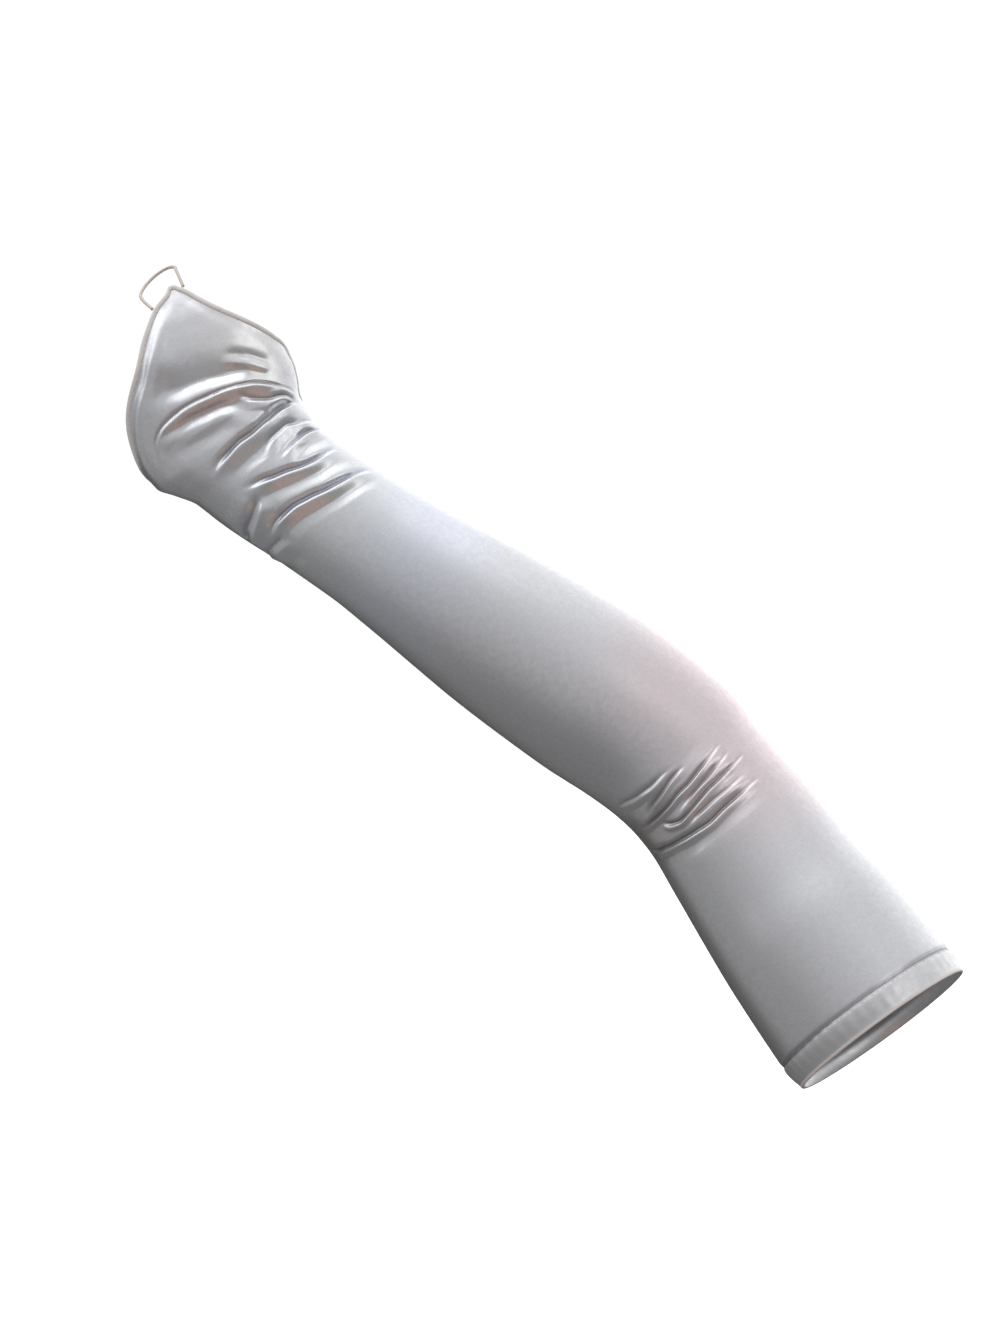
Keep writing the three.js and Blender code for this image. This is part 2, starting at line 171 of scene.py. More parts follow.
SECTIONS = (
    Section(Span.UPPER_ARM, 1.0, Girth.UPPER_ARM, 0.483, 0.494, 0.48, 0.48),
    Section(Span.UPPER_ARM, 0.93, Girth.UPPER_ARM, 0.494, 0.515, 0.5, 0.5),
    Section(Span.UPPER_ARM, 0.83, Girth.UPPER_ARM, 0.49, 0.51, 0.495, 0.495),
    Section(Span.UPPER_ARM, 0.65, Girth.UPPER_ARM, 0.473, 0.494, 0.48, 0.47),
    Section(Span.UPPER_ARM, 0.49, Girth.UPPER_ARM, 0.437, 0.469, 0.45, 0.45),
    Section(Span.UPPER_ARM, 0.33, Girth.UPPER_ARM, 0.426, 0.44, 0.43, 0.43),
    Section(Span.UPPER_ARM, 0.15, Girth.ELBOW, 0.496, 0.506, 0.5, 0.5),
    Section(Span.UPPER_ARM, 0.08, Girth.ELBOW, 0.5, 0.504, 0.49, 0.49),
    Section(Span.FOREARM, 1.0, Girth.FOREARM, 0.486, 0.47, 0.5, 0.5),
    Section(Span.FOREARM, 0.9, Girth.FOREARM, 0.497, 0.486, 0.5, 0.5),
    Section(Span.FOREARM, 0.8, Girth.FOREARM, 0.506, 0.499, 0.5, 0.5),
    Section(Span.FOREARM, 0.68, Girth.FOREARM, 0.49, 0.49, 0.485, 0.485),
    Section(Span.FOREARM, 0.57, Girth.FOREARM, 0.465, 0.473, 0.46, 0.46),
    Section(Span.FOREARM, 0.46, Girth.FOREARM, 0.436, 0.442, 0.42, 0.42),
    Section(Span.FOREARM, 0.35, Girth.FOREARM, 0.397, 0.409, 0.375, 0.375),
    Section(Span.FOREARM, 0.245, Girth.WRIST, 0.505, 0.517, 0.55, 0.55),
    Section(Span.FOREARM, 0.135, Girth.WRIST, 0.496, 0.513, 0.51, 0.51, 2.05),
    Section(Span.FOREARM, 0.055, Girth.WRIST, 0.5, 0.525, 0.5, 0.5, 2.1),
    Section(Span.HAND, 0.0, Girth.HAND, 0.377, 0.382, 0.64, 0.65, 2.1),
    Section(Span.HAND, 0.09, Girth.HAND, 0.386, 0.397, 0.62, 0.64, 2.15),
    Section(Span.HAND, 0.165, Girth.HAND, 0.395, 0.457, 0.6, 0.62, 2.2),
    Section(Span.HAND, 0.22, Girth.HAND, 0.412, 0.517, 0.59, 0.6, 2.2),
    Section(Span.HAND, 0.31, Girth.HAND, 0.441, 0.538, 0.58, 0.58, 2.2),
    Section(Span.HAND, 0.44, Girth.HAND, 0.461, 0.538, 0.59, 0.56, 2.2),
    Section(Span.HAND, 0.66, Girth.HAND, 0.461, 0.538, 0.62, 0.54, 2.2),
    Section(Span.HAND, 0.8, Girth.HAND, 0.458, 0.536, 0.56, 0.53, 2.2),
    Section(Span.HAND, 0.92, Girth.HAND, 0.455, 0.534, 0.46, 0.52, 2.2),
    Section(Span.HAND, 1.06, Girth.HAND, 0.45, 0.53, 0.33, 0.5, 2.2),
)

# The edge at the hand as (turn, share of the hand's length). Turn 0 is the little finger's side, 90
# the back of the hand, 180 the thumb's side and 270 or -90 the palm.
EDGE = (
    (-90, 0.17), (-20, 0.143), (-4, 0.155), (2, 0.2), (4.5, 0.3), (7, 0.44), (10, 0.524),
    (26, 0.599), (50, 0.72), (67, 0.824), (76, 0.896), (84, 0.967), (90, 1.0), (93, 0.972),
    (100.5, 0.929), (113.5, 0.813), (127, 0.675), (144, 0.55), (159, 0.445), (171, 0.352),
    (180, 0.3), (195, 0.25), (210, 0.222), (240, 0.19), (270, 0.17),
)  # fmt: skip


@dataclass
class ArmForm:
    """The smooth form that the cloth is stretched over, with its bends and its edge."""

    upper_arm_length: float = 148.5
    forearm_length: float = 220.0
    hand_length: float = 90.0
    elbow_bend: float = 19.6
    elbow_bend_length: float = 90.0
    upper_arm_tilt: float = 11.0
    wrist_bend: float = 34.0
    wrist_bend_length: float = 70.0
    wrist_bend_at: float = 14.0
    slope_span: float = 5.0
    spare: float = 40.0
    curves: dict[str, Callable[[np.ndarray], np.ndarray]] = field(default_factory=dict)

    def __post_init__(self) -> None:
        """Reads the tables into curves and steps out the middle line."""
        self.elbow_at = -self.forearm_length
        self.rim_at = self.elbow_at - self.upper_arm_length
        places = [self.along(s.span, s.share) for s in SECTIONS]
        for side, part in (("outer", 0), ("inner", 0), ("back", 1), ("palm", 1)):
            sizes = [getattr(s, side) * s.girth.value[part] for s in SECTIONS]
            self.curves[side] = curve_through(places, sizes)
        self.curves["square"] = curve_through(places, [s.square for s in SECTIONS])
        reaches = [share * self.hand_length for _, share in EDGE]
        self.curves["edge"] = curve_through([turn for turn, _ in EDGE], reaches)
        nodes = np.arange(self.rim_at - self.spare, self.hand_length + self.spare + 0.5, 1.0)
        ahead, _, _ = self.directions((nodes[1:] + nodes[:-1]) / 2)
        walked = np.concatenate([np.zeros((1, 3)), np.cumsum(ahead, axis=0)])
        self.line_places, self.line_points = nodes, walked - on_line(0.0, nodes, walked)

    def along(self, span: Span, share: float) -> float:
        """Finds a place along the arm from its share of a span.

        Args:
            span: the length that the share is of.
            share: the share of it, away from the wrist, or past the elbow on the upper arm.

        Returns:
            The place in mm from the wrist.
        """
        return {
            Span.UPPER_ARM: self.elbow_at - share * self.upper_arm_length,
            Span.FOREARM: -share * self.forearm_length,
            Span.HAND: share * self.hand_length,
        }[span]

    def reach(self, turn: np.ndarray) -> np.ndarray:
        """How far along the arm the edge lies, at turns round it."""
        return self.curves["edge"]((turn - EDGE[0][0]) % 360.0 + EDGE[0][0])

    def directions(self, along: np.ndarray) -> tuple[np.ndarray, np.ndarray, np.ndarray]:
        """Finds the arm's directions at places along it.

        Args:
            along: the places.

        Returns:
            The directions ahead to the hand, across, and to the palm.
        """
        past_elbow = ease((along - self.elbow_at) / self.elbow_bend_length + 0.5)
        past_wrist = ease((along - self.wrist_bend_at) / self.wrist_bend_length + 0.5)
        sway = np.radians(self.elbow_bend * (1 - past_elbow) + self.wrist_bend * past_wrist)
        tilt = np.radians(self.upper_arm_tilt * (1 - past_elbow))
        ahead = np.stack([np.sin(sway) * np.cos(tilt), np.sin(tilt), np.cos(sway) * np.cos(tilt)], -1)
        across = np.stack([np.cos(sway), np.zeros_like(sway), -np.sin(sway)], -1)
        return ahead, across, np.cross(ahead, across)

    def middle(self, along: np.ndarray) -> np.ndarray:
        """Points of the arm's middle line."""
        return on_line(along, self.line_places, self.line_points)

    def smooth(self, along: np.ndarray, turn: np.ndarray) -> np.ndarray:
        """Finds points of the smooth sleeve, with no folds.

        Args:
            along: places along the arm.
            turn: turns round it.

        Returns:
            The point at each place.
        """
        _, across, to_palm = self.directions(along)
        cos, sin = np.cos(np.radians(turn)), np.sin(np.radians(turn))
        power = 2.0 / self.curves["square"](along)
        half = np.where(cos > 0, self.curves["outer"](along), self.curves["inner"](along))
        deep = np.where(sin > 0, self.curves["back"](along), self.curves["palm"](along))
        width = np.sign(cos) * half * np.abs(cos) ** power
        depth = -np.sign(sin) * deep * np.abs(sin) ** power
        return self.middle(along) + across * width[..., None] + to_palm * depth[..., None]

    def cloth(self, along: np.ndarray, turn: np.ndarray) -> tuple[np.ndarray, ...]:
        """Finds how the smooth sleeve lies.

        Args:
            along: places along the arm.
            turn: turns round it.

        Returns:
            Points, outward normals, directions to the hand, and mm for each degree of turn.
        """
        near = 0.5
        ahead = self.smooth(along + near, turn) - self.smooth(along - near, turn)
        around = self.smooth(along, turn + near) - self.smooth(along, turn - near)
        normal = unit(np.cross(ahead, around))
        return self.smooth(along, turn), normal, unit(ahead), np.linalg.norm(around, axis=-1) / (2 * near)

    def edge_run(self, turn: np.ndarray) -> tuple[np.ndarray, np.ndarray]:
        """Finds how the edge runs.

        Args:
            turn: turns round the arm.

        Returns:
            Its way along the arm and its way round it, in mm for each degree of turn.
        """
        _, _, _, pace = self.cloth(self.reach(turn), turn)
        ahead, behind = self.reach(turn + self.slope_span), self.reach(turn - self.slope_span)
        return (ahead - behind) / (2 * self.slope_span), pace

    def inside_edge(self, turn: np.ndarray, inset: np.ndarray | float) -> tuple[np.ndarray, np.ndarray]:
        """Finds places inside the edge, square to it.

        Args:
            turn: turns at the edge itself.
            inset: distances from it.

        Returns:
            The places as (along, turn).
        """
        climb, pace = self.edge_run(turn)
        length = np.hypot(climb, pace)
        return self.reach(turn) - inset * pace / length, turn + inset * climb / (length * pace)


# A fold's drop is nearly straight: shares of its width, and of its height by then
STRAIGHT_DROP = ((0.12, 0.09), (0.88, 0.91))
# A crease's painted shade leans to the hand's side by this share of its fall. Its width in mm grows with the
# fall.
SHADE_LEAN = 0.12
SHADE_WIDTH = 0.35
SHADE_GROWTH = 0.2
WIDEST_SHADED_FALL = 5.0


@dataclass(frozen=True)
class Fold:
    """A fold along a line of (along, turn) places.

    From the hand's side the cloth swells a little and falls into a crease, at the line it rises to a
    crest, and past the crest it drops, dips a little and comes back. crease and crest are mm deep and
    high; fall, rise and drop are mm wide. swell and dip are shares of the crease and the crest, and
    lead and lag are how wide they run out, in mm. flare gives the widths at the line's two ends as
    shares, and fade how much of the line each end takes to die out. shut is how far the crease shuts
    the light out, from 0 to 1, and nip how close to its bottom the two sides stay straight, in mm.
    """

    line: tuple[tuple[float, float], ...]
    crease: float
    crest: float
    fall: float
    rise: float
    drop: float
    flare: tuple[float, float] = (1.0, 1.0)
    fade: tuple[float, float] = (0.25, 0.25)
    swell: float = 0.35
    dip: float = 0.45
    lead: float = 6.0
    lag: float = 5.0
    # shut sets the painted shade: how far the crease darkens the satin's colour
    shut: float = 0.6
    nip: float = 0.25

    def profile(self) -> Callable[[np.ndarray], np.ndarray]:
        """Shapes the fold's section.

        Returns:
            The height in mm, by the distance past the fold's line in mm.
        """
        half = self.rise / 2
        hand_side, arm_side = -half - self.fall, half + self.drop
        height = (1 + self.dip) * self.crest
        down = (1 + self.swell) * self.crease / self.fall * self.nip
        climb = (self.crease + self.crest) / self.rise * self.nip
        places = (
            hand_side - self.lead, hand_side, -half - self.nip, -half, -half + self.nip, half,
            *(half + share * self.drop for share, _ in STRAIGHT_DROP), arm_side, arm_side + self.lag,
        )  # fmt: skip
        heights = (
            0.0, self.swell * self.crease, down - self.crease, -self.crease, climb - self.crease, self.crest,
            *(self.crest - share * height for _, share in STRAIGHT_DROP), -self.dip * self.crest, 0.0,
        )  # fmt: skip
        return curve_through(places, heights)

    def shade(self, past: np.ndarray) -> np.ndarray:
        """How much painted shade darkens the colour, by the distance past the line."""
        width = SHADE_WIDTH + SHADE_GROWTH * min(self.fall, WIDEST_SHADED_FALL)
        return self.shut * bell(past + self.rise / 2 + SHADE_LEAN * self.fall, width)


# Each fold has its line, then its crease, crest, fall, rise and drop, and where they differ its flare and
# its fade. The folds over the wrist run about from the hand to the forearm. The last two are those that go
# down to the thumb's side.
WRIST_FOLDS = (
    Fold(
        ((42, 132), (43, 110), (43, 96), (42, 84), (40.5, 72), (39, 62)),
        1.5, 1.1, 17, 8, 8, (0.9, 0.6), swell=0.1, dip=0.1, lag=2, shut=0.1,
    ),
    Fold(((52, 80), (49, 68), (45, 56), (40, 43)), 0.7, 0.9, 5, 4, 3, (1, 0.8), (0.35, 0.2), shut=0.25),
    Fold(
        ((24, 140), (32, 130), (36.6, 114), (38.2, 98), (38, 85), (36.6, 70), (33, 56), (27, 42), (18, 20)),
        0.6, 1.3, 1.5, 1.6, 6.5, (1, 0.8),
    ),
    Fold(
        ((34.6, 79), (28.5, 70), (24, 58), (21, 42), (13, 22)),
        0.5, 0.95, 3, 2.1, 4, (1, 0.8), (0.3, 0.3),
    ),
    Fold(((30, 134), (31, 112), (30.5, 94), (26, 74)), 0.5, 1.0, 3, 4, 6, shut=0.1),
    Fold(
        ((10.5, 126), (13.4, 104), (14.3, 88), (14.3, 68), (15, 48), (12, 16)),
        1.3, 1.8, 4, 2.2, 7, (1, 0.9), (0.3, 0.2), shut=0.75,
    ),
    Fold(
        ((2, 88), (5.5, 70), (5.7, 55), (1.5, 40), (-4, 18)),
        0.4, 1.05, 3, 2, 4, (1, 0.9), (0.3, 0.25), shut=0.4,
    ),
    Fold(((-4, 78), (-3.8, 60), (-4.6, 46), (-7.5, 31), (-11, 12)), 0.5, 1.2, 2.2, 1.6, 4.5, (1, 0.9)),
    Fold(
        ((1, 120), (-4.3, 99), (-8.5, 85), (-14, 70), (-17.5, 56), (-22.5, 26)),
        1.2, 1.45, 3.2, 1.9, 5.5, (1, 0.8), (0.3, 0.25), shut=0.75,
    ),
    Fold(
        ((-20.5, 144), (-18.7, 121), (-21, 102), (-25.6, 85), (-31.3, 63), (-34.5, 48), (-41, 22)),
        1.3, 1.45, 3.4, 2.0, 5.5, (1.1, 0.7), (0.3, 0.25), shut=0.75,
    ),
    Fold(
        ((-6.5, 108), (-9, 120), (-11, 138), (-12.5, 168)),
        1.0, 0.9, 5, 3.4, 5, (1, 1.1), (0.35, 0.05), shut=0.4,
    ),
    Fold(((-26, 128), (-25, 146), (-23, 176)), 0.7, 0.8, 5, 4, 6, (1, 1), (0.35, 0.05), shut=0.3),
)

# the folds in the elbow, from the forearm to the upper arm
ELBOW_FOLDS = (
    Fold(
        ((-216, 160), (-219, 142), (-221.5, 131), (-223.5, 118), (-224, 92)),
        0.5, 0.5, 3, 1.6, 3, shut=0.4,
    ),
    Fold(((-232, 140), (-230, 120), (-228.5, 104), (-227.5, 90)), 0.6, 0.5, 2.4, 1.3, 2.2),
    Fold(
        ((-234.5, 166), (-237, 128), (-236, 112), (-235.4, 98), (-234, 84), (-230.5, 58)),
        0.9, 0.8, 2.2, 1.3, 2.4, fade=(0.15, 0.2), shut=0.7,
    ),
    Fold(
        ((-242.5, 116), (-240.4, 98), (-239.5, 87), (-238, 78), (-235.5, 58)),
        0.7, 0.6, 1.8, 1.2, 2, shut=0.7,
    ),
    Fold(
        (
            (-240, 134), (-244.5, 128), (-246.8, 118), (-246.5, 108), (-245, 98),
            (-243.2, 81), (-241.9, 66), (-240, 48),
        ),
        0.9, 0.8, 2.1, 1.3, 2.3, fade=(0.12, 0.2), shut=0.75,
    ),
    Fold(((-251, 116), (-249.8, 98), (-249.2, 87), (-248.2, 62)), 0.6, 0.5, 1.8, 1.3, 2),
    Fold(
        ((-245, 172), (-252, 143), (-254.5, 124), (-256.2, 106), (-255.4, 92), (-254.2, 76), (-252.5, 52)),
        1.1, 0.9, 3, 1.5, 3.2, fade=(0.1, 0.2), shut=0.75,
    ),
)


@dataclass
class FoldField:
    """The height of the folds over the smooth sleeve."""

    form: ArmForm
    folds: Sequence[Fold] = WRIST_FOLDS + ELBOW_FOLDS
    marks: int = 48
    waver: float = 0.5
    waver_size: float = 9.0
    edge_fade: float = 6.0

    def marked(self, fold: Fold) -> tuple[np.ndarray, np.ndarray]:
        """Steps out a fold's line.

        Args:
            fold: the fold.

        Returns:
            Marks along its line, and at each the direction across it towards the hand.
        """
        stops = np.linspace(0, 1, len(fold.line))
        t = np.linspace(0, 1, self.marks + 1)
        along = curve_through(stops, [p[0] for p in fold.line])(t)
        turn = curve_through(stops, [p[1] for p in fold.line])(t)
        point, normal, ahead, _ = self.form.cloth(along, turn)
        across = unit(np.cross(np.gradient(point, axis=0), normal))
        across *= np.sign(np.sum(across * ahead, axis=1, keepdims=True))
        return point, across

    def relief_of(self, fold: Fold, points: np.ndarray, waver: np.ndarray) -> np.ndarray:
        """One fold's height and shade at points of the smooth sleeve.

        Args:
            fold: the fold.
            points: places on the smooth sleeve.
            waver: how far the line strays at each of them.

        Returns:
            The height at each point, outwards, and the shade, as two columns.
        """
        marks, across = self.marked(fold)
        relief = np.zeros((len(points), 2))
        reach = (fold.lead + fold.fall + fold.rise + fold.drop + fold.lag) * max(fold.flare)
        near = np.all((points > marks.min(0) - reach) & (points < marks.max(0) + reach), axis=1)
        if not near.any():
            return relief
        close = points[near]
        start, step = marks[:-1], np.diff(marks, axis=0)
        offset = close[:, None, :] - start[None]
        t = np.clip(np.sum(offset * step, -1) / np.sum(step * step, -1), 0, 1)
        gap = offset - t[..., None] * step
        nearest = np.argmin(np.sum(gap * gap, -1), axis=1)
        row = np.arange(len(close))
        part = t[row, nearest]
        side = across[nearest] * (1 - part[:, None]) + across[nearest + 1] * part[:, None]
        past = -np.sum(gap[row, nearest] * side, -1) + waver[near]
        share = (nearest + part) / self.marks
        wide = fold.flare[0] * (1 - share) + fold.flare[1] * share
        fading = ease(share / fold.fade[0]) * ease((1 - share) / fold.fade[1])
        relief[near, 0] = fold.profile()(past / wide) * fading
        relief[near, 1] = fold.shade(past / wide) * fading
        return relief

    def relief(self, along: np.ndarray, turn: np.ndarray, points: np.ndarray) -> np.ndarray:
        """Adds up the folds at places on the sleeve. They die out at the edge.

        Args:
            along: the places along the arm.
            turn: their turns round it.
            points: their points on the smooth sleeve.

        Returns:
            The height and the shade, as two columns.
        """
        stray = [self.waver * noise.noise(Vector(p / self.waver_size)) for p in points]
        waver = np.array(stray)
        total = sum(self.relief_of(fold, points, waver) for fold in self.folds)
        return total * ease((self.form.reach(turn) - along) / self.edge_fade)[:, None]


@dataclass
class Cloth:
    """The satin as worn: its face at any place, folds and grooves included."""

    form: ArmForm
    folds: FoldField
    edge_hem_width: float = 2.3
    rim_hem_width: float = 12.2
    groove_depth: float = 0.4
    groove_width: float = 1.3
    # soft relief inside the hand's edge, as (distance from it, height on the thumb's side, and beyond)
    border: tuple[tuple[float, float, float], ...] = (
        (0.0, 0.0, 0.0), (2.3, -0.3, -0.25), (3.2, -0.25, -0.3), (7.2, 1.7, 0.05), (9.5, 1.8, 0.03),
        (14.0, 1.1, 0.0), (28.0, 0.0, 0.0), (29.0, 0.0, 0.0),
    )  # fmt: skip
    # the turns where that ridge starts and ends, and the degrees over which it does so
    ridge_start: tuple[float, float] = (92.0, 14.0)
    ridge_end: tuple[float, float] = (168.0, 25.0)

    def from_edge(self, along: np.ndarray, turn: np.ndarray) -> np.ndarray:
        """Distances from the hand's edge, square to it, in mm."""
        climb, pace = self.form.edge_run(turn)
        return (self.form.reach(turn) - along) * pace / np.hypot(climb, pace)

    def borders(self, along: np.ndarray, turn: np.ndarray) -> np.ndarray:
        """Finds the dips beside both hems, and the soft ridge inside the edge at the thumb's side.

        Args:
            along: places along the arm.
            turn: turns round it.

        Returns:
            Their height at each place.
        """
        places = [row[0] for row in self.border]
        start, end = self.ridge_start, self.ridge_end
        thumb_side = ease((turn - start[0]) / start[1]) * ease((end[0] - turn) / end[1])
        away = self.from_edge(along, turn)
        ridge = curve_through(places, [row[1] for row in self.border])(away)
        plain = curve_through(places, [row[2] for row in self.border])(away)
        groove = bell(along - self.form.rim_at - self.rim_hem_width, self.groove_width)
        return ridge * thumb_side + plain * (1 - thumb_side) - self.groove_depth * groove

    def relief(self, along: np.ndarray, turn: np.ndarray) -> tuple[np.ndarray, np.ndarray]:
        """Finds the cloth's relief over the smooth sleeve.

        Args:
            along: places along the arm.
            turn: turns round it, of the same shape.

        Returns:
            The height at each place, and how far painted shade darkens the colour in the creases there.
        """
        shape = np.shape(along)
        flat_along, flat_turn = np.ravel(along), np.ravel(turn)
        folds = self.folds.relief(flat_along, flat_turn, self.form.smooth(flat_along, flat_turn))
        height = folds[:, 0] + self.borders(flat_along, flat_turn)
        return height.reshape(shape), np.clip(folds[:, 1], 0.0, 1.0).reshape(shape)

    def lifted(self, along: np.ndarray, turn: np.ndarray, height: np.ndarray) -> np.ndarray:
        """Points at heights over the smooth sleeve."""
        point, normal, _, _ = self.form.cloth(along, turn)
        return point + normal * height[..., None]

    def face(self, along: np.ndarray, turn: np.ndarray, lift: np.ndarray | float = 0.0) -> np.ndarray:
        """Points of the cloth's outer face, lifted off it by some mm.

        Args:
            along: places along the arm.
            turn: places round it, of the same shape.
            lift: distance outwards.

        Returns:
            The points, one for each place.
        """
        return self.lifted(along, turn, self.relief(along, turn)[0] + lift)


def grid_piece(across: int, along: int) -> tuple[bmesh.types.BMesh, np.ndarray, np.ndarray]:
    """Starts a mesh as a grid.

    Args:
        across: faces from side to side.
        along: faces from end to end.

    Returns:
        The mesh, and each vertex's column and row.
    """
    bm = bmesh.new()
    bmesh.ops.create_grid(bm, x_segments=across, y_segments=along, size=0.5)
    bm.verts.ensure_lookup_table()
    place = np.array([(v.co.x, v.co.y) for v in bm.verts])
    column = np.rint((place[:, 0] + 0.5) * across).astype(int)
    row = np.rint((place[:, 1] + 0.5) * along).astype(int)
    return bm, column, row


def shape_grid(
    bm: bmesh.types.BMesh,
    column: np.ndarray,
    row: np.ndarray,
    points: np.ndarray,
    pattern: np.ndarray,
) -> None:
    """Moves a grid's vertices to their places, gives it its pattern's places, and closes its seams.

    Args:
        bm: the grid.
        column: each vertex's column.
        row: each vertex's row.
        points: the places in mm, by row and column.
        pattern: the places in the cloth in mm, (around, along), by row and column.
    """
    spots = points[row, column] * MM
    for vert, spot in zip(bm.verts, spots):
        vert.co = spot
    layer = bm.loops.layers.uv.new("cloth")
    place = pattern[row, column]
    for face in bm.faces:
        for loop in face.loops:
            loop[layer].uv = place[loop.vert.index]
    seam = [v for v in bm.verts if v.is_boundary]
    bmesh.ops.remove_doubles(bm, verts=seam, dist=1e-7)


def add_piece(
    name: str,
    bm: bmesh.types.BMesh,
    materials: Sequence[bpy.types.Material],
    node: str | None = None,
) -> bpy.types.Object:
    """Makes the finished mesh a piece of the object.

    Args:
        name: the piece's name.
        bm: its mesh, which is freed.
        materials: its materials, in the order of its faces' numbers.
        node: the solid that it stands for, if any.

    Returns:
        The piece, riding on the body.
    """
    mesh = bpy.data.meshes.new(name)
    bm.to_mesh(mesh)
    bm.free()
    for material in materials:
        mesh.materials.append(material)
    mesh.shade_smooth()
    piece = bpy.data.objects.new(name, mesh)
    bpy.context.scene.collection.objects.link(piece)
    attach(piece, BODY)
    if node:
        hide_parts(node)
    LOG.info("%s: %d faces", name, len(mesh.polygons))
    return piece


Value = float | tuple[float, ...] | Vector | bpy.types.NodeSocket


@dataclass
class Graph:
    """A node tree that nodes are added to and linked in."""

    tree: bpy.types.NodeTree

    def feed(self, node: bpy.types.Node, inputs: dict[str | int, Value]) -> None:
        """Sets a node's inputs to values, or links them to sockets.

        Args:
            node: the node.
            inputs: the value or socket for each input, by its name or number.
        """
        for key, value in inputs.items():
            if isinstance(value, bpy.types.NodeSocket):
                self.tree.links.new(value, node.inputs[key])
            else:
                node.inputs[key].default_value = value

    def add(
        self,
        kind: str,
        inputs: dict[str | int, Value] | None = None,
        **settings: object,
    ) -> bpy.types.Node:
        """Adds a node.

        Args:
            kind: the node's type.
            inputs: its inputs' values or sockets.
            **settings: its properties.

        Returns:
            The node.
        """
        node = self.tree.nodes.new(kind)
        for key, value in settings.items():
            setattr(node, key, value)
        self.feed(node, inputs or {})
        return node

    def math(self, operation: str, *values: Value) -> bpy.types.NodeSocket:
        """Adds a Math node.

        Args:
            operation: what it does.
            *values: the numbers or sockets that it takes.

        Returns:
            Its result.
        """
        return self.add("ShaderNodeMath", dict(enumerate(values)), operation=operation).outputs[0]

    def vector_math(self, operation: str, inputs: dict[str | int, Value]) -> bpy.types.Node:
        """Adds a Vector Math node with its inputs."""
        return self.add("ShaderNodeVectorMath", inputs, operation=operation)

    def mix(self, kind: str, share: Value, first: Value, second: Value) -> bpy.types.NodeSocket:
        """Mixes two colours or two vectors.

        Args:
            kind: RGBA or VECTOR.
            share: the second one's share.
            first: the first one.
            second: the second one.

        Returns:
            The mix.
        """
        inputs = {"Factor": share, "A": first, "B": second}
        return self.add("ShaderNodeMix", inputs, data_type=kind).outputs["Result"]

    def remap(
        self,
        value: bpy.types.NodeSocket,
        old: tuple[float, float],
        new: tuple[float, float],
    ) -> bpy.types.NodeSocket:
        """Takes a value smoothly from one range to another.

        Args:
            value: the value.
            old: the range that it is taken from.
            new: the range that it is taken to.

        Returns:
            The new value.
        """
        ends = dict(zip(("From Min", "From Max", "To Min", "To Max"), (*old, *new)))
        node = self.add("ShaderNodeMapRange", {"Value": value, **ends}, interpolation_type="SMOOTHSTEP")
        return node.outputs["Result"]


def weave_group() -> bpy.types.NodeTree:
    """The satin weave as a node group, built once.

    Returns:
        A group that reads the place in the cloth, in mm, and gives a tone near 1, a change of
        roughness, and a height for bump.
    """
    name = "satin_weave"
    if name in bpy.data.node_groups:
        return bpy.data.node_groups[name]
    tree = bpy.data.node_groups.new(name, "ShaderNodeTree")
    tree.interface.new_socket("Cloth Place", in_out="INPUT", socket_type="NodeSocketVector")
    for title, value in (("Float Length", 2.4), ("Yarn Width", 0.3), ("Patch Size", 7.0), ("Contrast", 1.0)):
        socket = tree.interface.new_socket(title, in_out="INPUT", socket_type="NodeSocketFloat")
        socket.default_value = value
    for title in ("Tone", "Gloss", "Height"):
        tree.interface.new_socket(title, in_out="OUTPUT", socket_type="NodeSocketFloat")
    graph = Graph(tree)
    enter = graph.add("NodeGroupInput").outputs
    yarn_size = {"X": enter["Float Length"], "Y": enter["Yarn Width"], "Z": 1.0}
    yarn = graph.add("ShaderNodeCombineXYZ", yarn_size).outputs[0]
    streaks = graph.vector_math("DIVIDE", {0: enter["Cloth Place"], 1: yarn}).outputs[0]
    streak_noise = {"Vector": streaks, "Scale": 1.0, "Detail": 2.0}
    floats = graph.add("ShaderNodeTexNoise", streak_noise, noise_dimensions="2D").outputs[0]
    spread = graph.vector_math("DIVIDE", {0: enter["Cloth Place"], 1: enter["Patch Size"]}).outputs[0]
    patch_noise = {"Vector": spread, "Scale": 1.0, "Detail": 4.0, "Roughness": 0.65}
    patches = graph.add("ShaderNodeTexNoise", patch_noise, noise_dimensions="2D").outputs[0]
    middle = (0.25, 0.75)
    fine = graph.remap(floats, middle, (-0.02, 0.02))
    broad = graph.remap(patches, middle, (-0.045, 0.045))
    change = graph.math("MULTIPLY", graph.math("ADD", fine, broad), enter["Contrast"])
    gloss = graph.remap(patches, middle, (0.04, -0.04))
    results = {
        "Tone": graph.math("ADD", 1.0, change),
        "Gloss": graph.math("MULTIPLY", gloss, enter["Contrast"]),
        "Height": graph.math("MULTIPLY_ADD", floats, 0.2, graph.math("MULTIPLY", patches, 0.8)),
    }
    graph.add("NodeGroupOutput", results)
    return tree


@dataclass(frozen=True)
class PaintedCast:
    """A faint cast of painted light, shade and reflection over part of the cloth: its middle and reach each
    way, in mm.
    """

    around: tuple[float, float]
    along: tuple[float, float]
    colour: tuple[float, float, float]


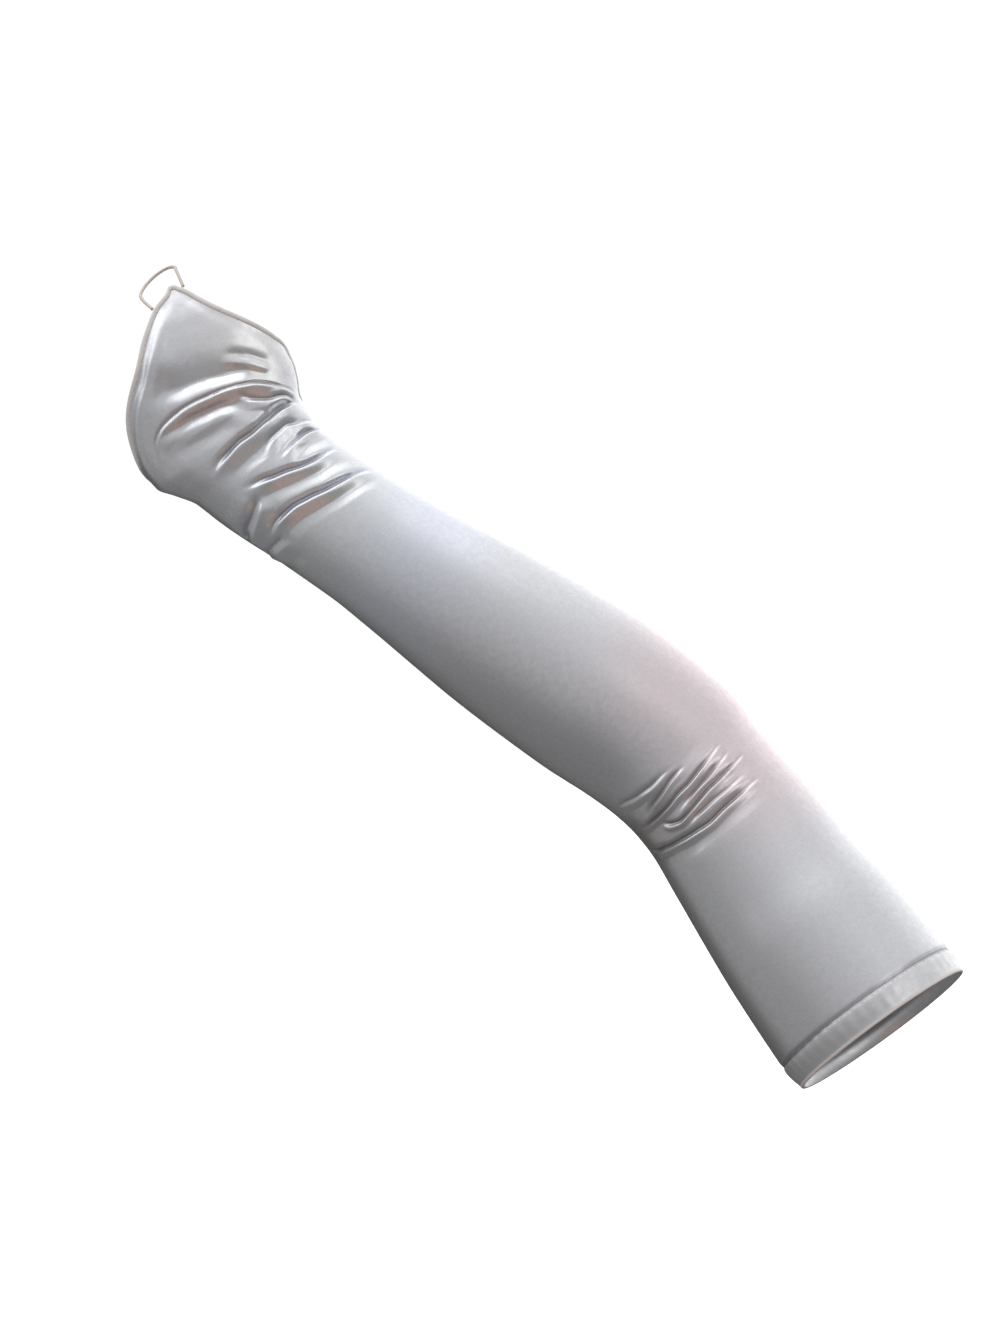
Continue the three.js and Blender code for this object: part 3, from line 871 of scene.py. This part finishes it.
@dataclass(frozen=True)
class ClothFinish:
    """A finish of satin or thread."""

    name: str
    colour: tuple[float, float, float]
    roughness: float
    metallic: float = 0.0
    sheen: float = 0.0
    specular: float = 0.5
    float_length: float = 3.0
    yarn_width: float = 0.7
    patch_size: float = 3.2
    contrast: float = 1.0
    bump: float = 0.2
    relief: float = 0.06
    # how far the creases' painted shade darkens the base colour
    painted_shade_strength: float = 0.0
    painted_casts: tuple[PaintedCast, ...] = ()
    # the lip is a painted highlight along the cloth's edge: its width and fade in mm, and its colour
    lip: float = 0.0
    lip_fade: float = 0.5
    lip_highlight_colour: tuple[float, float, float, float] = (0.95, 0.88, 0.83, 1.0)

    def material(self) -> bpy.types.Material:
        """Builds the finish.

        Returns:
            The finish as a material.
        """
        material = bpy.data.materials.new(self.name)
        material.use_nodes = True
        graph = Graph(material.node_tree)
        place = graph.add("ShaderNodeUVMap", uv_map="cloth").outputs[0]
        yarns = {
            "Cloth Place": place,
            "Float Length": self.float_length,
            "Yarn Width": self.yarn_width,
            "Patch Size": self.patch_size,
            "Contrast": self.contrast,
        }
        weave = graph.add("ShaderNodeGroup", node_tree=weave_group())
        graph.feed(weave, yarns)
        tone = weave.outputs["Tone"]
        # painted shade: the creases' shade darkens the satin's base colour
        if self.painted_shade_strength:
            crease = graph.add("ShaderNodeAttribute", attribute_name="painted_crease_shade").outputs["Fac"]
            tone = graph.math("MULTIPLY", tone, graph.math("MULTIPLY_ADD", crease, -self.painted_shade_strength, 1.0))
        plain = graph.vector_math("SCALE", {0: self.colour, "Scale": tone}).outputs[0]
        colour, metallic = self.tinted(graph, place, plain), self.metallic
        # painted highlight: a pale, less metallic line along the cloth's edge
        if self.lip:
            axes = graph.add("ShaderNodeSeparateXYZ", {0: place}).outputs
            share = graph.remap(axes["Y"], (self.lip, self.lip + self.lip_fade), (1.0, 0.0))
            colour = graph.mix("RGBA", share, colour, self.lip_highlight_colour)
            metallic = graph.math("MULTIPLY_ADD", share, -self.metallic, self.metallic)
        ribs = {"Height": weave.outputs["Height"], "Strength": self.bump, "Distance": self.relief * MM}
        look = {
            "Base Color": colour,
            "Metallic": metallic,
            "Roughness": graph.math("ADD", self.roughness, weave.outputs["Gloss"]),
            "Specular IOR Level": self.specular,
            "Sheen Weight": self.sheen,
            "Sheen Roughness": 0.4,
            "Normal": graph.add("ShaderNodeBump", ribs).outputs[0],
        }
        graph.feed(graph.tree.nodes["Principled BSDF"], look)
        return material

    def tinted(
        self,
        graph: Graph,
        place: bpy.types.NodeSocket,
        colour: bpy.types.NodeSocket,
    ) -> bpy.types.NodeSocket:
        """Lays the finish's painted light, shade and reflections over its plain colour.

        Args:
            graph: the material's graph.
            place: the place in the cloth.
            colour: the plain colour.

        Returns:
            The colour with its painted light, shade and reflections.
        """
        axes = graph.add("ShaderNodeSeparateXYZ", {0: place}).outputs
        for cast in self.painted_casts:
            share = 1.0
            for axis, (middle, reach) in (("X", cast.around), ("Y", cast.along)):
                away = graph.math("ABSOLUTE", graph.math("SUBTRACT", axes[axis], middle))
                # a cast is full over a third of its reach, and then fades
                share = graph.math("MULTIPLY", graph.remap(away, (reach / 3, reach), (1.0, 0.0)), share)
            tinted = graph.vector_math("MULTIPLY", {0: colour, 1: cast.colour}).outputs[0]
            colour = graph.mix("VECTOR", share, colour, tinted)
        return colour


SATIN = ClothFinish(
    "satin_face", (0.83, 0.835, 0.86), 0.3, metallic=0.88, painted_shade_strength=0.8,
    painted_casts=(
        # painted reflection: a cool, slightly lighter cast over the forearm near the wrist
        PaintedCast((60.0, 120.0), (-52.0, 72.0), (1.05, 1.07, 1.13)),
        # painted light: the wrist, the hand and the near forearm a little lighter
        PaintedCast((60.0, 120.0), (10.0, 100.0), (1.12, 1.125, 1.13)),
        # painted light: a lighter, slightly warm patch on the back of the hand towards the little finger
        PaintedCast((36.0, 30.0), (54.0, 38.0), (1.08, 1.07, 1.05)),
        # painted shade: darker and warmer over the elbow's nest of folds
        PaintedCast((92.0, 30.0), (-240.0, 24.0), (0.86, 0.83, 0.81)),
        # painted reflection: a warm, pinkish cast over the outer elbow
        PaintedCast((20.0, 62.0), (-222.0, 75.0), (1.07, 0.955, 0.95)),
        # painted shade: a dark band on the sleeve beside the upper hem's groove
        PaintedCast((60.0, 1000.0), (-356.6, 2.6), (0.68, 0.68, 0.69)),
        # the side seam: painted shade along its groove
        PaintedCast((8.3, 0.55), (-300.0, 90.0), (0.72, 0.7, 0.68)),
        # painted highlight beside the side seam's groove
        PaintedCast((9.4, 0.8), (-300.0, 90.0), (1.1, 1.08, 1.06)),
    ),
)  # fmt: skip
SATIN_BACK = ClothFinish("satin_back", (0.72, 0.715, 0.72), 0.75, sheen=0.3)
TURNED = ClothFinish(
    # its lip is a painted highlight, a pale line 1.6 mm wide along the hem's rim
    "turned_satin", (0.85, 0.855, 0.87), 0.36, metallic=0.75, lip=1.6,
    # painted shade along the hem's stitch groove
    painted_casts=(PaintedCast((60.0, 1000.0), (12.7, 1.6), (0.5, 0.5, 0.51)),),
)  # fmt: skip
ROLLED = ClothFinish("rolled_edge", (0.95, 0.91, 0.87), 0.45, metallic=0.1, float_length=1.2, yarn_width=0.3)
ELASTIC = ClothFinish("elastic_yarn", (0.78, 0.7, 0.62), 0.7, float_length=0.5, yarn_width=0.2)
THREAD = ClothFinish("sewing_thread", (0.74, 0.73, 0.72), 0.55, sheen=0.2, float_length=0.4)


@dataclass
class Sleeve:
    """The satin tube from the upper hem to the hand's edge."""

    cloth: Cloth
    columns: int = 180
    column_bias: float = 0.5
    evenness: float = 0.4
    hem_gap: float = 0.1
    hand_zone_share: float = -0.1
    # rows from the edge to the hand zone's end, and then down the arm, as (stop, rows)
    hand_rows: tuple[tuple[float, int], ...] = ((0.71, 16), (0.0, 150))
    arm_rows: tuple[tuple[float, int], ...] = (
        (-48, 88), (-62, 8), (-212, 28), (-264, 118), (-350, 20), (-356.4, 10),
    )  # fmt: skip
    wall: float = 1.0
    inner_step: int = 6
    around: float = 230.0

    def ring_turns(self) -> np.ndarray:
        """The columns' turns round the arm, closer on the back of the hand."""
        share = np.linspace(0, 1, self.columns + 1)
        return -90 + 360 * (share + self.column_bias * np.sin(2 * np.pi * share) / (2 * np.pi))

    def pattern(self, turn: np.ndarray, down: np.ndarray) -> np.ndarray:
        """The place in the cloth, in mm, of turns round the arm and mm along it."""
        return np.stack([turn / 360 * self.around, np.broadcast_to(down, turn.shape)], -1)

    def edge_turns(self, count: int) -> np.ndarray:
        """Spreads turns evenly along the edge, with one of them at its tip.

        Args:
            count: the steps between them, an even number.

        Returns:
            The turns, first and last at the palm's middle.
        """
        turns = np.arange(-90, 270.01, 0.05)
        point = self.cloth.form.smooth(self.cloth.form.reach(turns), turns)
        step = np.linalg.norm(np.diff(point, axis=0), axis=1) + self.evenness * np.diff(turns)
        walked = np.concatenate([[0], np.cumsum(step)])
        tip = np.interp(90.0, turns, walked)
        share = np.linspace(0, 1, count + 1)
        target = np.where(share < 0.5, tip * 2 * share, tip + (walked[-1] - tip) * (2 * share - 1))
        return np.interp(target, walked, turns)

    def places(self) -> tuple[np.ndarray, np.ndarray]:
        """Lays out the sleeve's grid.

        Returns:
            Every place of it as (along, turn), by row and column.
        """
        form = self.cloth.form
        zone = self.hand_zone_share * form.hand_length
        ring = self.ring_turns()
        inset = self.cloth.edge_hem_width + self.hem_gap
        end_along, end_turn = form.inside_edge(self.edge_turns(self.columns), inset)
        parts, start = [np.ones(1)], 1.0
        for stop, count in self.hand_rows:
            parts.append(np.linspace(start, stop, count + 1)[1:])
            start = stop
        share = np.concatenate(parts)[:, None]
        along = [zone + (end_along - zone) * share]
        turn = [ring + (end_turn - ring) * share]
        start = zone
        for stop, count in self.arm_rows:
            rows = np.linspace(start, stop, count + 1)[1:, None]
            along.append(np.broadcast_to(rows, (count, len(ring))))
            turn.append(np.broadcast_to(ring, (count, len(ring))))
            start = stop
        return np.concatenate(along), np.concatenate(turn)

    def build(self, face: bpy.types.Material, back: bpy.types.Material) -> bpy.types.Object:
        """Makes the sleeve with its wall.

        Args:
            face: the finish outside.
            back: the finish inside.

        Returns:
            The sleeve.
        """
        along, turn = self.places()
        height, shade = self.cloth.relief(along, turn)
        outer = len(along)
        inner = np.r_[0 : outer - 1 : self.inner_step, outer - 1]
        along, turn = (np.concatenate([grid, grid[inner[::-1]], grid[:1]]) for grid in (along, turn))
        floor = self.lowest(height, inner) - self.wall
        height = np.concatenate([height, floor[::-1], height[:1]])
        shade = np.concatenate([shade, np.zeros_like(floor), shade[:1]])
        points = self.cloth.lifted(along, turn, height)
        bm, column, row = grid_piece(self.columns, len(along) - 1)
        # painted shade in the creases, kept on each vertex for the satin's colour
        layer = bm.verts.layers.float.new("painted_crease_shade")
        for vert, value in zip(bm.verts, shade[row, column]):
            vert[layer] = value
        for quad in bm.faces:
            quad.material_index = int(min(row[v.index] for v in quad.verts) >= outer - 1)
        shape_grid(bm, column, row, points, self.pattern(turn, along))
        for edge in bm.edges:
            edge.smooth = len({quad.material_index for quad in edge.link_faces}) == 1
        bmesh.ops.recalc_face_normals(bm, faces=bm.faces)
        return add_piece("sleeve_cloth", bm, [face, back], "sleeve")

    def lowest(self, height: np.ndarray, rows: np.ndarray) -> np.ndarray:
        """The lowest height of the face round each place of the inner wall, so that it stays inside.

        Args:
            height: the face's heights, by row and column.
            rows: the rows that the inner wall has too.

        Returns:
            The lowest heights, by inner row and column.
        """
        low = np.stack([height[max(r - self.inner_step, 0) : r + self.inner_step + 1].min(0) for r in rows])
        low = np.minimum(low, np.minimum(np.roll(low, 1, 1), np.roll(low, -1, 1)))
        low[:, 0] = low[:, -1] = np.minimum(low[:, 0], low[:, -1])
        return low


@dataclass
class Hem:
    """A closed band along one of the sleeve's two edges."""

    cloth: Cloth
    sleeve: Sleeve

    def band(self, along: np.ndarray, turn: np.ndarray, lift: np.ndarray) -> bmesh.types.BMesh:
        """Makes a closed band from its places.

        Args:
            along: places along the arm, by point of the section and by column.
            turn: places round the arm, in the same way.
            lift: distances off the cloth's face, in the same way.

        Returns:
            The band's mesh.
        """
        points = self.cloth.face(along, turn, lift)
        steps = np.linalg.norm(np.diff(points, axis=0), axis=-1).mean(1)
        walked = np.concatenate([[0], np.cumsum(steps)])
        pattern = self.sleeve.pattern(turn, walked[:, None])
        bm, column, row = grid_piece(along.shape[1] - 1, along.shape[0] - 1)
        shape_grid(bm, column, row, points, pattern)
        bmesh.ops.recalc_face_normals(bm, faces=bm.faces)
        return bm


@dataclass
class HandHem(Hem):
    """The narrow rolled edge along the point and round the palm."""

    columns: int = 560
    sides: int = 18
    width: float = 2.3
    thickness: float = 1.5
    step: float = 0.3
    stitch_inset: float = 1.75
    stitch_marks: int = 720

    def build(self, material: bpy.types.Material) -> bpy.types.Object:
        """Makes the rolled edge.

        Args:
            material: its finish.

        Returns:
            The rolled edge.
        """
        turns = self.sleeve.edge_turns(self.columns)
        angle = np.linspace(0, 2 * np.pi, self.sides + 1)[:, None]
        inset = self.width / 2 * (1 - np.cos(angle))
        lift = self.step - self.thickness / 2 * (1 - np.sin(angle))
        along, turn = self.cloth.form.inside_edge(np.broadcast_to(turns, (len(angle), len(turns))), inset)
        bm = self.band(along, turn, np.broadcast_to(lift, along.shape))
        return add_piece("hand_edge_roll", bm, [material], "hand_hem")

    def stitch_line(self) -> tuple[np.ndarray, np.ndarray]:
        """The line that its stitches follow, as (along, turn)."""
        return self.cloth.form.inside_edge(self.sleeve.edge_turns(self.stitch_marks), self.stitch_inset)


@dataclass
class RimHem(Hem):
    """The turned hem round the upper arm, with its stitch groove."""

    columns: int = 360
    width: float = 12.2
    step: float = 0.35
    thickness: float = 1.8
    # its outer face from the rim inwards, as (inset, lift above the cloth's face)
    crown: tuple[tuple[float, float], ...] = (
        (0.0, -0.35), (0.12, 0.05), (0.4, 0.24), (0.8, 0.28), (1.4, 0.12), (2.2, 0.12), (5.0, 0.17),
        (9.0, 0.17), (10.8, 0.12), (11.6, 0.02), (12.0, -0.08), (12.2, -0.3),
    )  # fmt: skip
    # rows across the lip, the flat and the stitched groove, and how wide the lip and the groove are
    rows: tuple[int, int, int] = (4, 9, 7)
    lip: float = 1.0
    groove: float = 2.0
    lip_spread: float = 1.5
    turn_in: float = 0.2
    pucker: float = 0.07
    pucker_count: int = 46
    pucker_from: float = 6.0
    stitch_inset: float = 10.9
    stitch_step: float = 0.5

    def build(self, material: bpy.types.Material) -> bpy.types.Object:
        """Makes the hem.

        Args:
            material: its finish.

        Returns:
            The hem.
        """
        top = curve_through([row[0] for row in self.crown], [row[1] for row in self.crown])
        groove = self.width - self.groove
        lip = self.lip * np.linspace(0, 1, self.rows[0] + 1)[:-1] ** self.lip_spread
        flat = np.linspace(self.lip, groove, self.rows[1] + 1)[:-1]
        inward = np.concatenate([lip, flat, np.linspace(groove, self.width, self.rows[2] + 1)])
        under = self.step - self.thickness
        inset = np.concatenate([inward, [self.width - self.turn_in, self.turn_in, 0.0]])[:, None]
        lift = np.concatenate([top(inward), [under, under, top(np.array(0.0))]])[:, None]
        turns = np.linspace(-90, 270, self.columns + 1)[None]
        wave = self.pucker * np.sin(np.radians(turns * self.pucker_count))
        wave = wave * ease(inset / self.pucker_from) * (lift > under)
        along = np.broadcast_to(self.cloth.form.rim_at + inset, (len(inset), self.columns + 1))
        bm = self.band(along, np.broadcast_to(turns, along.shape), lift + wave)
        return add_piece("upper_hem_band", bm, [material], "upper_hem")

    def stitch_line(self) -> tuple[np.ndarray, np.ndarray]:
        """The line that its stitches follow, as (along, turn)."""
        turns = np.arange(-90, 270 + self.stitch_step, self.stitch_step)
        return np.full_like(turns, self.cloth.form.rim_at + self.stitch_inset), turns


@dataclass
class FingerLoop:
    """The thin elastic round the middle finger."""

    cloth: Cloth
    cord: float = 1.5
    finger_width: float = 19.0
    finger_depth: float = 18.0
    finger_offset: float = 4.6
    rise: float = 3.5
    slant: float = 2.9
    palm_rise: float = 4.5
    ends: tuple[float, float] = (84.0, 102.0)
    turns: tuple[float, ...] = (12, -20, -55, -90, -125, -160, -195)
    seam_gap: float = 0.3
    hem_step: float = 0.35
    hem_thickness: float = 1.7
    sides: int = 20
    steps: int = 240
    rib: float = 0.06
    ribs: int = 64

    def stops(self) -> np.ndarray:
        """Sets out the places that the cord goes through.

        Returns:
            The places in mm, from one sewn end to the other.
        """
        form = self.cloth.form
        place = np.array(form.hand_length + self.rise)
        ahead, across, to_palm = form.directions(place)
        lowered = self.hem_step - float(form.curves["back"](np.array(form.hand_length)))
        middle = form.middle(place) - across * self.finger_offset
        middle += to_palm * (lowered + self.finger_depth / 2)
        turn = np.radians(self.turns)[:, None]
        ring = (
            middle
            + across * self.finger_width / 2 * np.cos(turn)
            - to_palm * self.finger_depth / 2 * np.sin(turn)
            + ahead * (self.slant * np.cos(turn) - self.palm_rise * np.sin(turn))
        )
        ends = np.array(self.ends)
        along, at = form.inside_edge(ends, -(self.seam_gap + self.cord / 4))
        sewn = self.cloth.face(along, at, self.hem_step - self.hem_thickness / 2)
        return np.concatenate([sewn[:1], ring, sewn[1:]])

    def route(self) -> np.ndarray:
        """Draws a smooth line through the stops.

        Returns:
            Its points, evenly spread between the stops.
        """
        stops = self.stops()
        stops = np.concatenate([[2 * stops[0] - stops[1]], stops, [2 * stops[-1] - stops[-2]]])
        # knots apart by the root of the distance keep the line free of loops
        knots = np.concatenate([[0], np.cumsum(np.linalg.norm(np.diff(stops, axis=0), axis=1) ** 0.5)])
        place = np.linspace(knots[1], knots[-2] - 1e-9, self.steps + 1)
        i = np.searchsorted(knots, place, side="right") - 1

        def between(first: np.ndarray, second: np.ndarray, low: int, high: int) -> np.ndarray:
            """Two layers of points, mixed by where the place lies between two knots."""
            share = (place - knots[i + low]) / (knots[i + high] - knots[i + low])
            return first * (1 - share[:, None]) + second * share[:, None]

        lines = [between(stops[i + k], stops[i + k + 1], k, k + 1) for k in (-1, 0, 1)]
        arcs = [between(lines[k + 1], lines[k + 2], k, k + 2) for k in (-1, 0)]
        return between(arcs[0], arcs[1], 0, 1)

    def build(self, material: bpy.types.Material) -> bpy.types.Object:
        """Makes the cord.

        Args:
            material: its finish.

        Returns:
            The cord.
        """
        route = self.route()
        ahead = unit(np.gradient(route, axis=0))
        side = np.zeros_like(route)
        side[0] = unit(np.cross(ahead[0], [0.0, 0.0, 1.0]))
        for i in range(1, len(route)):
            side[i] = unit(side[i - 1] - ahead[i] * np.dot(side[i - 1], ahead[i]))
        lift = np.cross(ahead, side)
        angle = np.linspace(0, 2 * np.pi, self.sides + 1)[:, None, None]
        walked = np.concatenate([[0], np.cumsum(np.linalg.norm(np.diff(route, axis=0), axis=1))])
        twist = angle[..., 0] * 2 + walked[None] / walked[-1] * 2 * np.pi * self.ribs
        radius = self.cord / 2 + self.rib * (np.sin(twist)[..., None] - 1)
        points = route + radius * (np.cos(angle) * side + np.sin(angle) * lift)
        around = np.broadcast_to(angle[..., 0] * self.cord / 2, twist.shape)
        pattern = np.stack([around, np.broadcast_to(walked, twist.shape)], -1)
        bm, column, row = grid_piece(self.steps, self.sides)
        shape_grid(bm, column, row, points, pattern)
        rims = [e for e in bm.edges if e.is_boundary]
        bmesh.ops.holes_fill(bm, edges=rims, sides=self.sides + 1)
        bmesh.ops.recalc_face_normals(bm, faces=bm.faces)
        return add_piece("finger_elastic", bm, [material], "finger_loop")


@dataclass
class StitchRow:
    """A row of machine stitches that lies in a groove."""

    cloth: Cloth
    name: str
    length: float
    gap: float
    thread: float
    lift: float = 0.16
    sides: int = 8
    rings: int = 7

    def build(self, line: tuple[np.ndarray, np.ndarray], material: bpy.types.Material) -> bpy.types.Object:
        """Lays stitches along a closed line.

        Args:
            line: the line's places, as (along, turn).
            material: the thread's finish.

        Returns:
            The row of stitches.
        """
        points = self.cloth.face(*line, self.lift)
        normals = self.cloth.form.cloth(*line)[1]
        steps = np.linalg.norm(np.diff(points, axis=0), axis=1)
        walked = np.concatenate([[0], np.cumsum(steps)])
        count = int(walked[-1] / (self.length + self.gap))
        middles = (np.arange(count) + 0.5) * walked[-1] / count
        bm = bmesh.new()
        for place in middles:
            start, end = (on_line(place + way * self.length / 2, walked, points) for way in (-1, 1))
            run = Vector(end - start)
            across = Vector(on_line(place, walked, normals)).cross(run).normalized()
            up = run.cross(across).normalized()
            stand = Matrix((across, up, run.normalized())).transposed().to_4x4()
            scale = Matrix.Diagonal((self.thread / 2, self.thread / 2, run.length / 2, 1.0))
            seat = Matrix.Scale(MM, 4) @ Matrix.Translation(Vector((start + end) / 2)) @ stand @ scale
            bmesh.ops.create_uvsphere(
                bm, u_segments=self.sides, v_segments=self.rings, radius=1.0, matrix=seat
            )
        bm.loops.layers.uv.new("cloth")
        return add_piece(self.name, bm, [material])


@dataclass
class Studio:
    """The camera, the light and the floor. None of it is part of the object."""

    eye: tuple[float, float, float] = (-0.01403, -2.2, -0.13325)
    right: tuple[float, float, float] = (0.5635, 0.0, -0.8261)
    up: tuple[float, float, float] = (0.8261, 0.0, 0.5635)
    lens: float = 136.06
    film: float = 36.0
    sight: float = 50.0
    backdrop: float = 1.05
    floor_at: float = -0.43
    floor_size: float = 12.0
    floor_glow: float = 0.6
    # the surround's brightness round the arm, from behind by the thumb's side and the camera to behind
    ring: tuple[tuple[float, tuple[float, ...]], ...] = (
        (0.0, (0.04, 0.04, 0.036, 1)), (0.18, (0.1, 0.098, 0.09, 1)), (0.35, (0.26, 0.257, 0.255, 1)),
        (0.5, (0.46, 0.46, 0.468, 1)), (0.63, (0.59, 0.59, 0.603, 1)), (0.75, (0.72, 0.72, 0.73, 1)),
        (0.87, (1.1, 1.1, 1.11, 1)), (0.95, (1.5, 1.5, 1.5, 1)), (1.0, (0.04, 0.04, 0.036, 1)),
    )  # fmt: skip
    # towards a direction, from one cosine to another, it goes over by a share to a colour
    glows: tuple[tuple[tuple[float, ...], tuple[float, float], float, tuple[float, ...]], ...] = (
        ((-0.7, 0.1, 0.7), (0.74, 0.95), 0.8, (0.3, 0.3, 0.3, 1)),
        ((-0.3, -0.3, 0.91), (0.92, 0.98), 0.9, (0.9, 0.91, 0.95, 1)),
        ((0.5, 0.0, 0.87), (0.5, 0.85), 1.0, (1.3, 1.3, 1.34, 1)),
        ((0.55, -0.72, -0.42), (0.91, 0.975), 0.9, (1.05, 1.04, 1.03, 1)),
        ((-0.5, 0.0, -0.87), (0.1, 0.5), 0.9, (0.17, 0.17, 0.172, 1)),
        ((-0.5, 0.1, -0.86), (0.78, 0.96), 0.95, (0.04, 0.042, 0.048, 1)),
        ((-0.4, -0.65, -0.65), (0.925, 0.98), 0.9, (0.4, 0.275, 0.23, 1)),
    )

    def camera(self) -> None:
        """Sets the camera at the photo's viewing angle, rolled as the photo is."""
        data = bpy.data.cameras.new("photo_view")
        data.sensor_width = self.film
        data.lens = self.lens
        data.clip_end = self.sight
        camera = bpy.data.objects.new("photo_view", data)
        back = (0.0, -1.0, 0.0)
        turn = Matrix((self.right, self.up, back)).transposed().to_4x4()
        camera.matrix_world = Matrix.Translation(self.eye) @ turn
        bpy.context.scene.collection.objects.link(camera)
        bpy.context.scene.camera = camera

    def sky(self) -> None:
        """Makes a soft surround that is brighter round one side of the arm, with plain white behind."""
        world = bpy.data.worlds.new("surround")
        bpy.context.scene.world = world
        world.use_nodes = True
        graph = Graph(world.node_tree)
        graph.tree.nodes.clear()
        place = graph.add("ShaderNodeTexCoord").outputs["Generated"]
        axes = graph.add("ShaderNodeSeparateXYZ", {0: place}).outputs
        round_arm = {"X": graph.math("MULTIPLY", axes["Y"], -1.0), "Y": axes["X"]}
        seen = graph.add("ShaderNodeCombineXYZ", round_arm).outputs[0]
        radial = graph.add("ShaderNodeTexGradient", {"Vector": seen}, gradient_type="RADIAL")
        ramp = graph.add("ShaderNodeValToRGB", {"Fac": radial.outputs["Fac"]})
        stops = ramp.color_ramp.elements
        stops[0].position, stops[0].color = self.ring[0]
        stops[1].position, stops[1].color = self.ring[-1]
        for position, colour in self.ring[1:-1]:
            stops.new(position).color = colour
        shade = ramp.outputs["Color"]
        for direction, span, strength, colour in self.glows:
            toward = graph.vector_math("DOT_PRODUCT", {0: place, 1: Vector(direction).normalized()})
            share = graph.remap(toward.outputs["Value"], span, (0.0, strength))
            shade = graph.mix("RGBA", share, shade, colour)
        soft = graph.add("ShaderNodeBackground", {"Color": shade})
        plain = graph.add("ShaderNodeBackground", {"Color": (1, 1, 1, 1), "Strength": self.backdrop})
        seen_straight = graph.add("ShaderNodeLightPath").outputs["Is Camera Ray"]
        both = {"Fac": seen_straight, 1: soft.outputs[0], 2: plain.outputs[0]}
        choice = graph.add("ShaderNodeMixShader", both)
        graph.add("ShaderNodeOutputWorld", {"Surface": choice.outputs[0]})

    def floor(self) -> None:
        """A plain pale floor well below the object."""
        bm = bmesh.new()
        low = Matrix.Translation((0, 0, self.floor_at))
        bmesh.ops.create_grid(bm, x_segments=1, y_segments=1, size=self.floor_size, matrix=low)
        mesh = bpy.data.meshes.new("floor")
        bm.to_mesh(mesh)
        bm.free()
        material = bpy.data.materials.new("pale_floor")
        material.use_nodes = True
        look = {
            "Base Color": (0.95, 0.95, 0.95, 1),
            "Roughness": 0.9,
            "Emission Color": (1, 1, 1, 1),
            "Emission Strength": self.floor_glow,
        }
        graph = Graph(material.node_tree)
        graph.feed(graph.tree.nodes["Principled BSDF"], look)
        mesh.materials.append(material)
        floor = bpy.data.objects.new("floor", mesh)
        floor.visible_diffuse = False
        floor.visible_glossy = False
        bpy.context.scene.collection.objects.link(floor)

    def build(self) -> None:
        """Sets up the whole studio."""
        bpy.context.scene.view_settings.view_transform = "Standard"
        self.camera()
        self.sky()
        self.floor()
        LOG.info("studio ready")


def main() -> None:
    """Builds the studio and then the pieces, in order."""
    logging.basicConfig(level=logging.INFO)
    Studio().build()
    form = ArmForm()
    cloth = Cloth(form, FoldField(form))
    sleeve = Sleeve(cloth)
    thread = THREAD.material()
    tube = sleeve.build(SATIN.material(), SATIN_BACK.material())
    hand_hem, rim_hem = HandHem(cloth, sleeve), RimHem(cloth, sleeve)
    edge = hand_hem.build(ROLLED.material())
    rim = rim_hem.build(TURNED.material())
    loop = FingerLoop(cloth).build(ELASTIC.material())
    rim_row = StitchRow(cloth, "upper_hem_stitches", length=2.2, gap=0.5, thread=0.28)
    rim_stitches = rim_row.build(rim_hem.stitch_line(), thread)
    edge_row = StitchRow(cloth, "hand_edge_stitches", length=1.8, gap=0.45, thread=0.22)
    edge_stitches = edge_row.build(hand_hem.stitch_line(), thread)


if __name__ == "__main__":
    main()
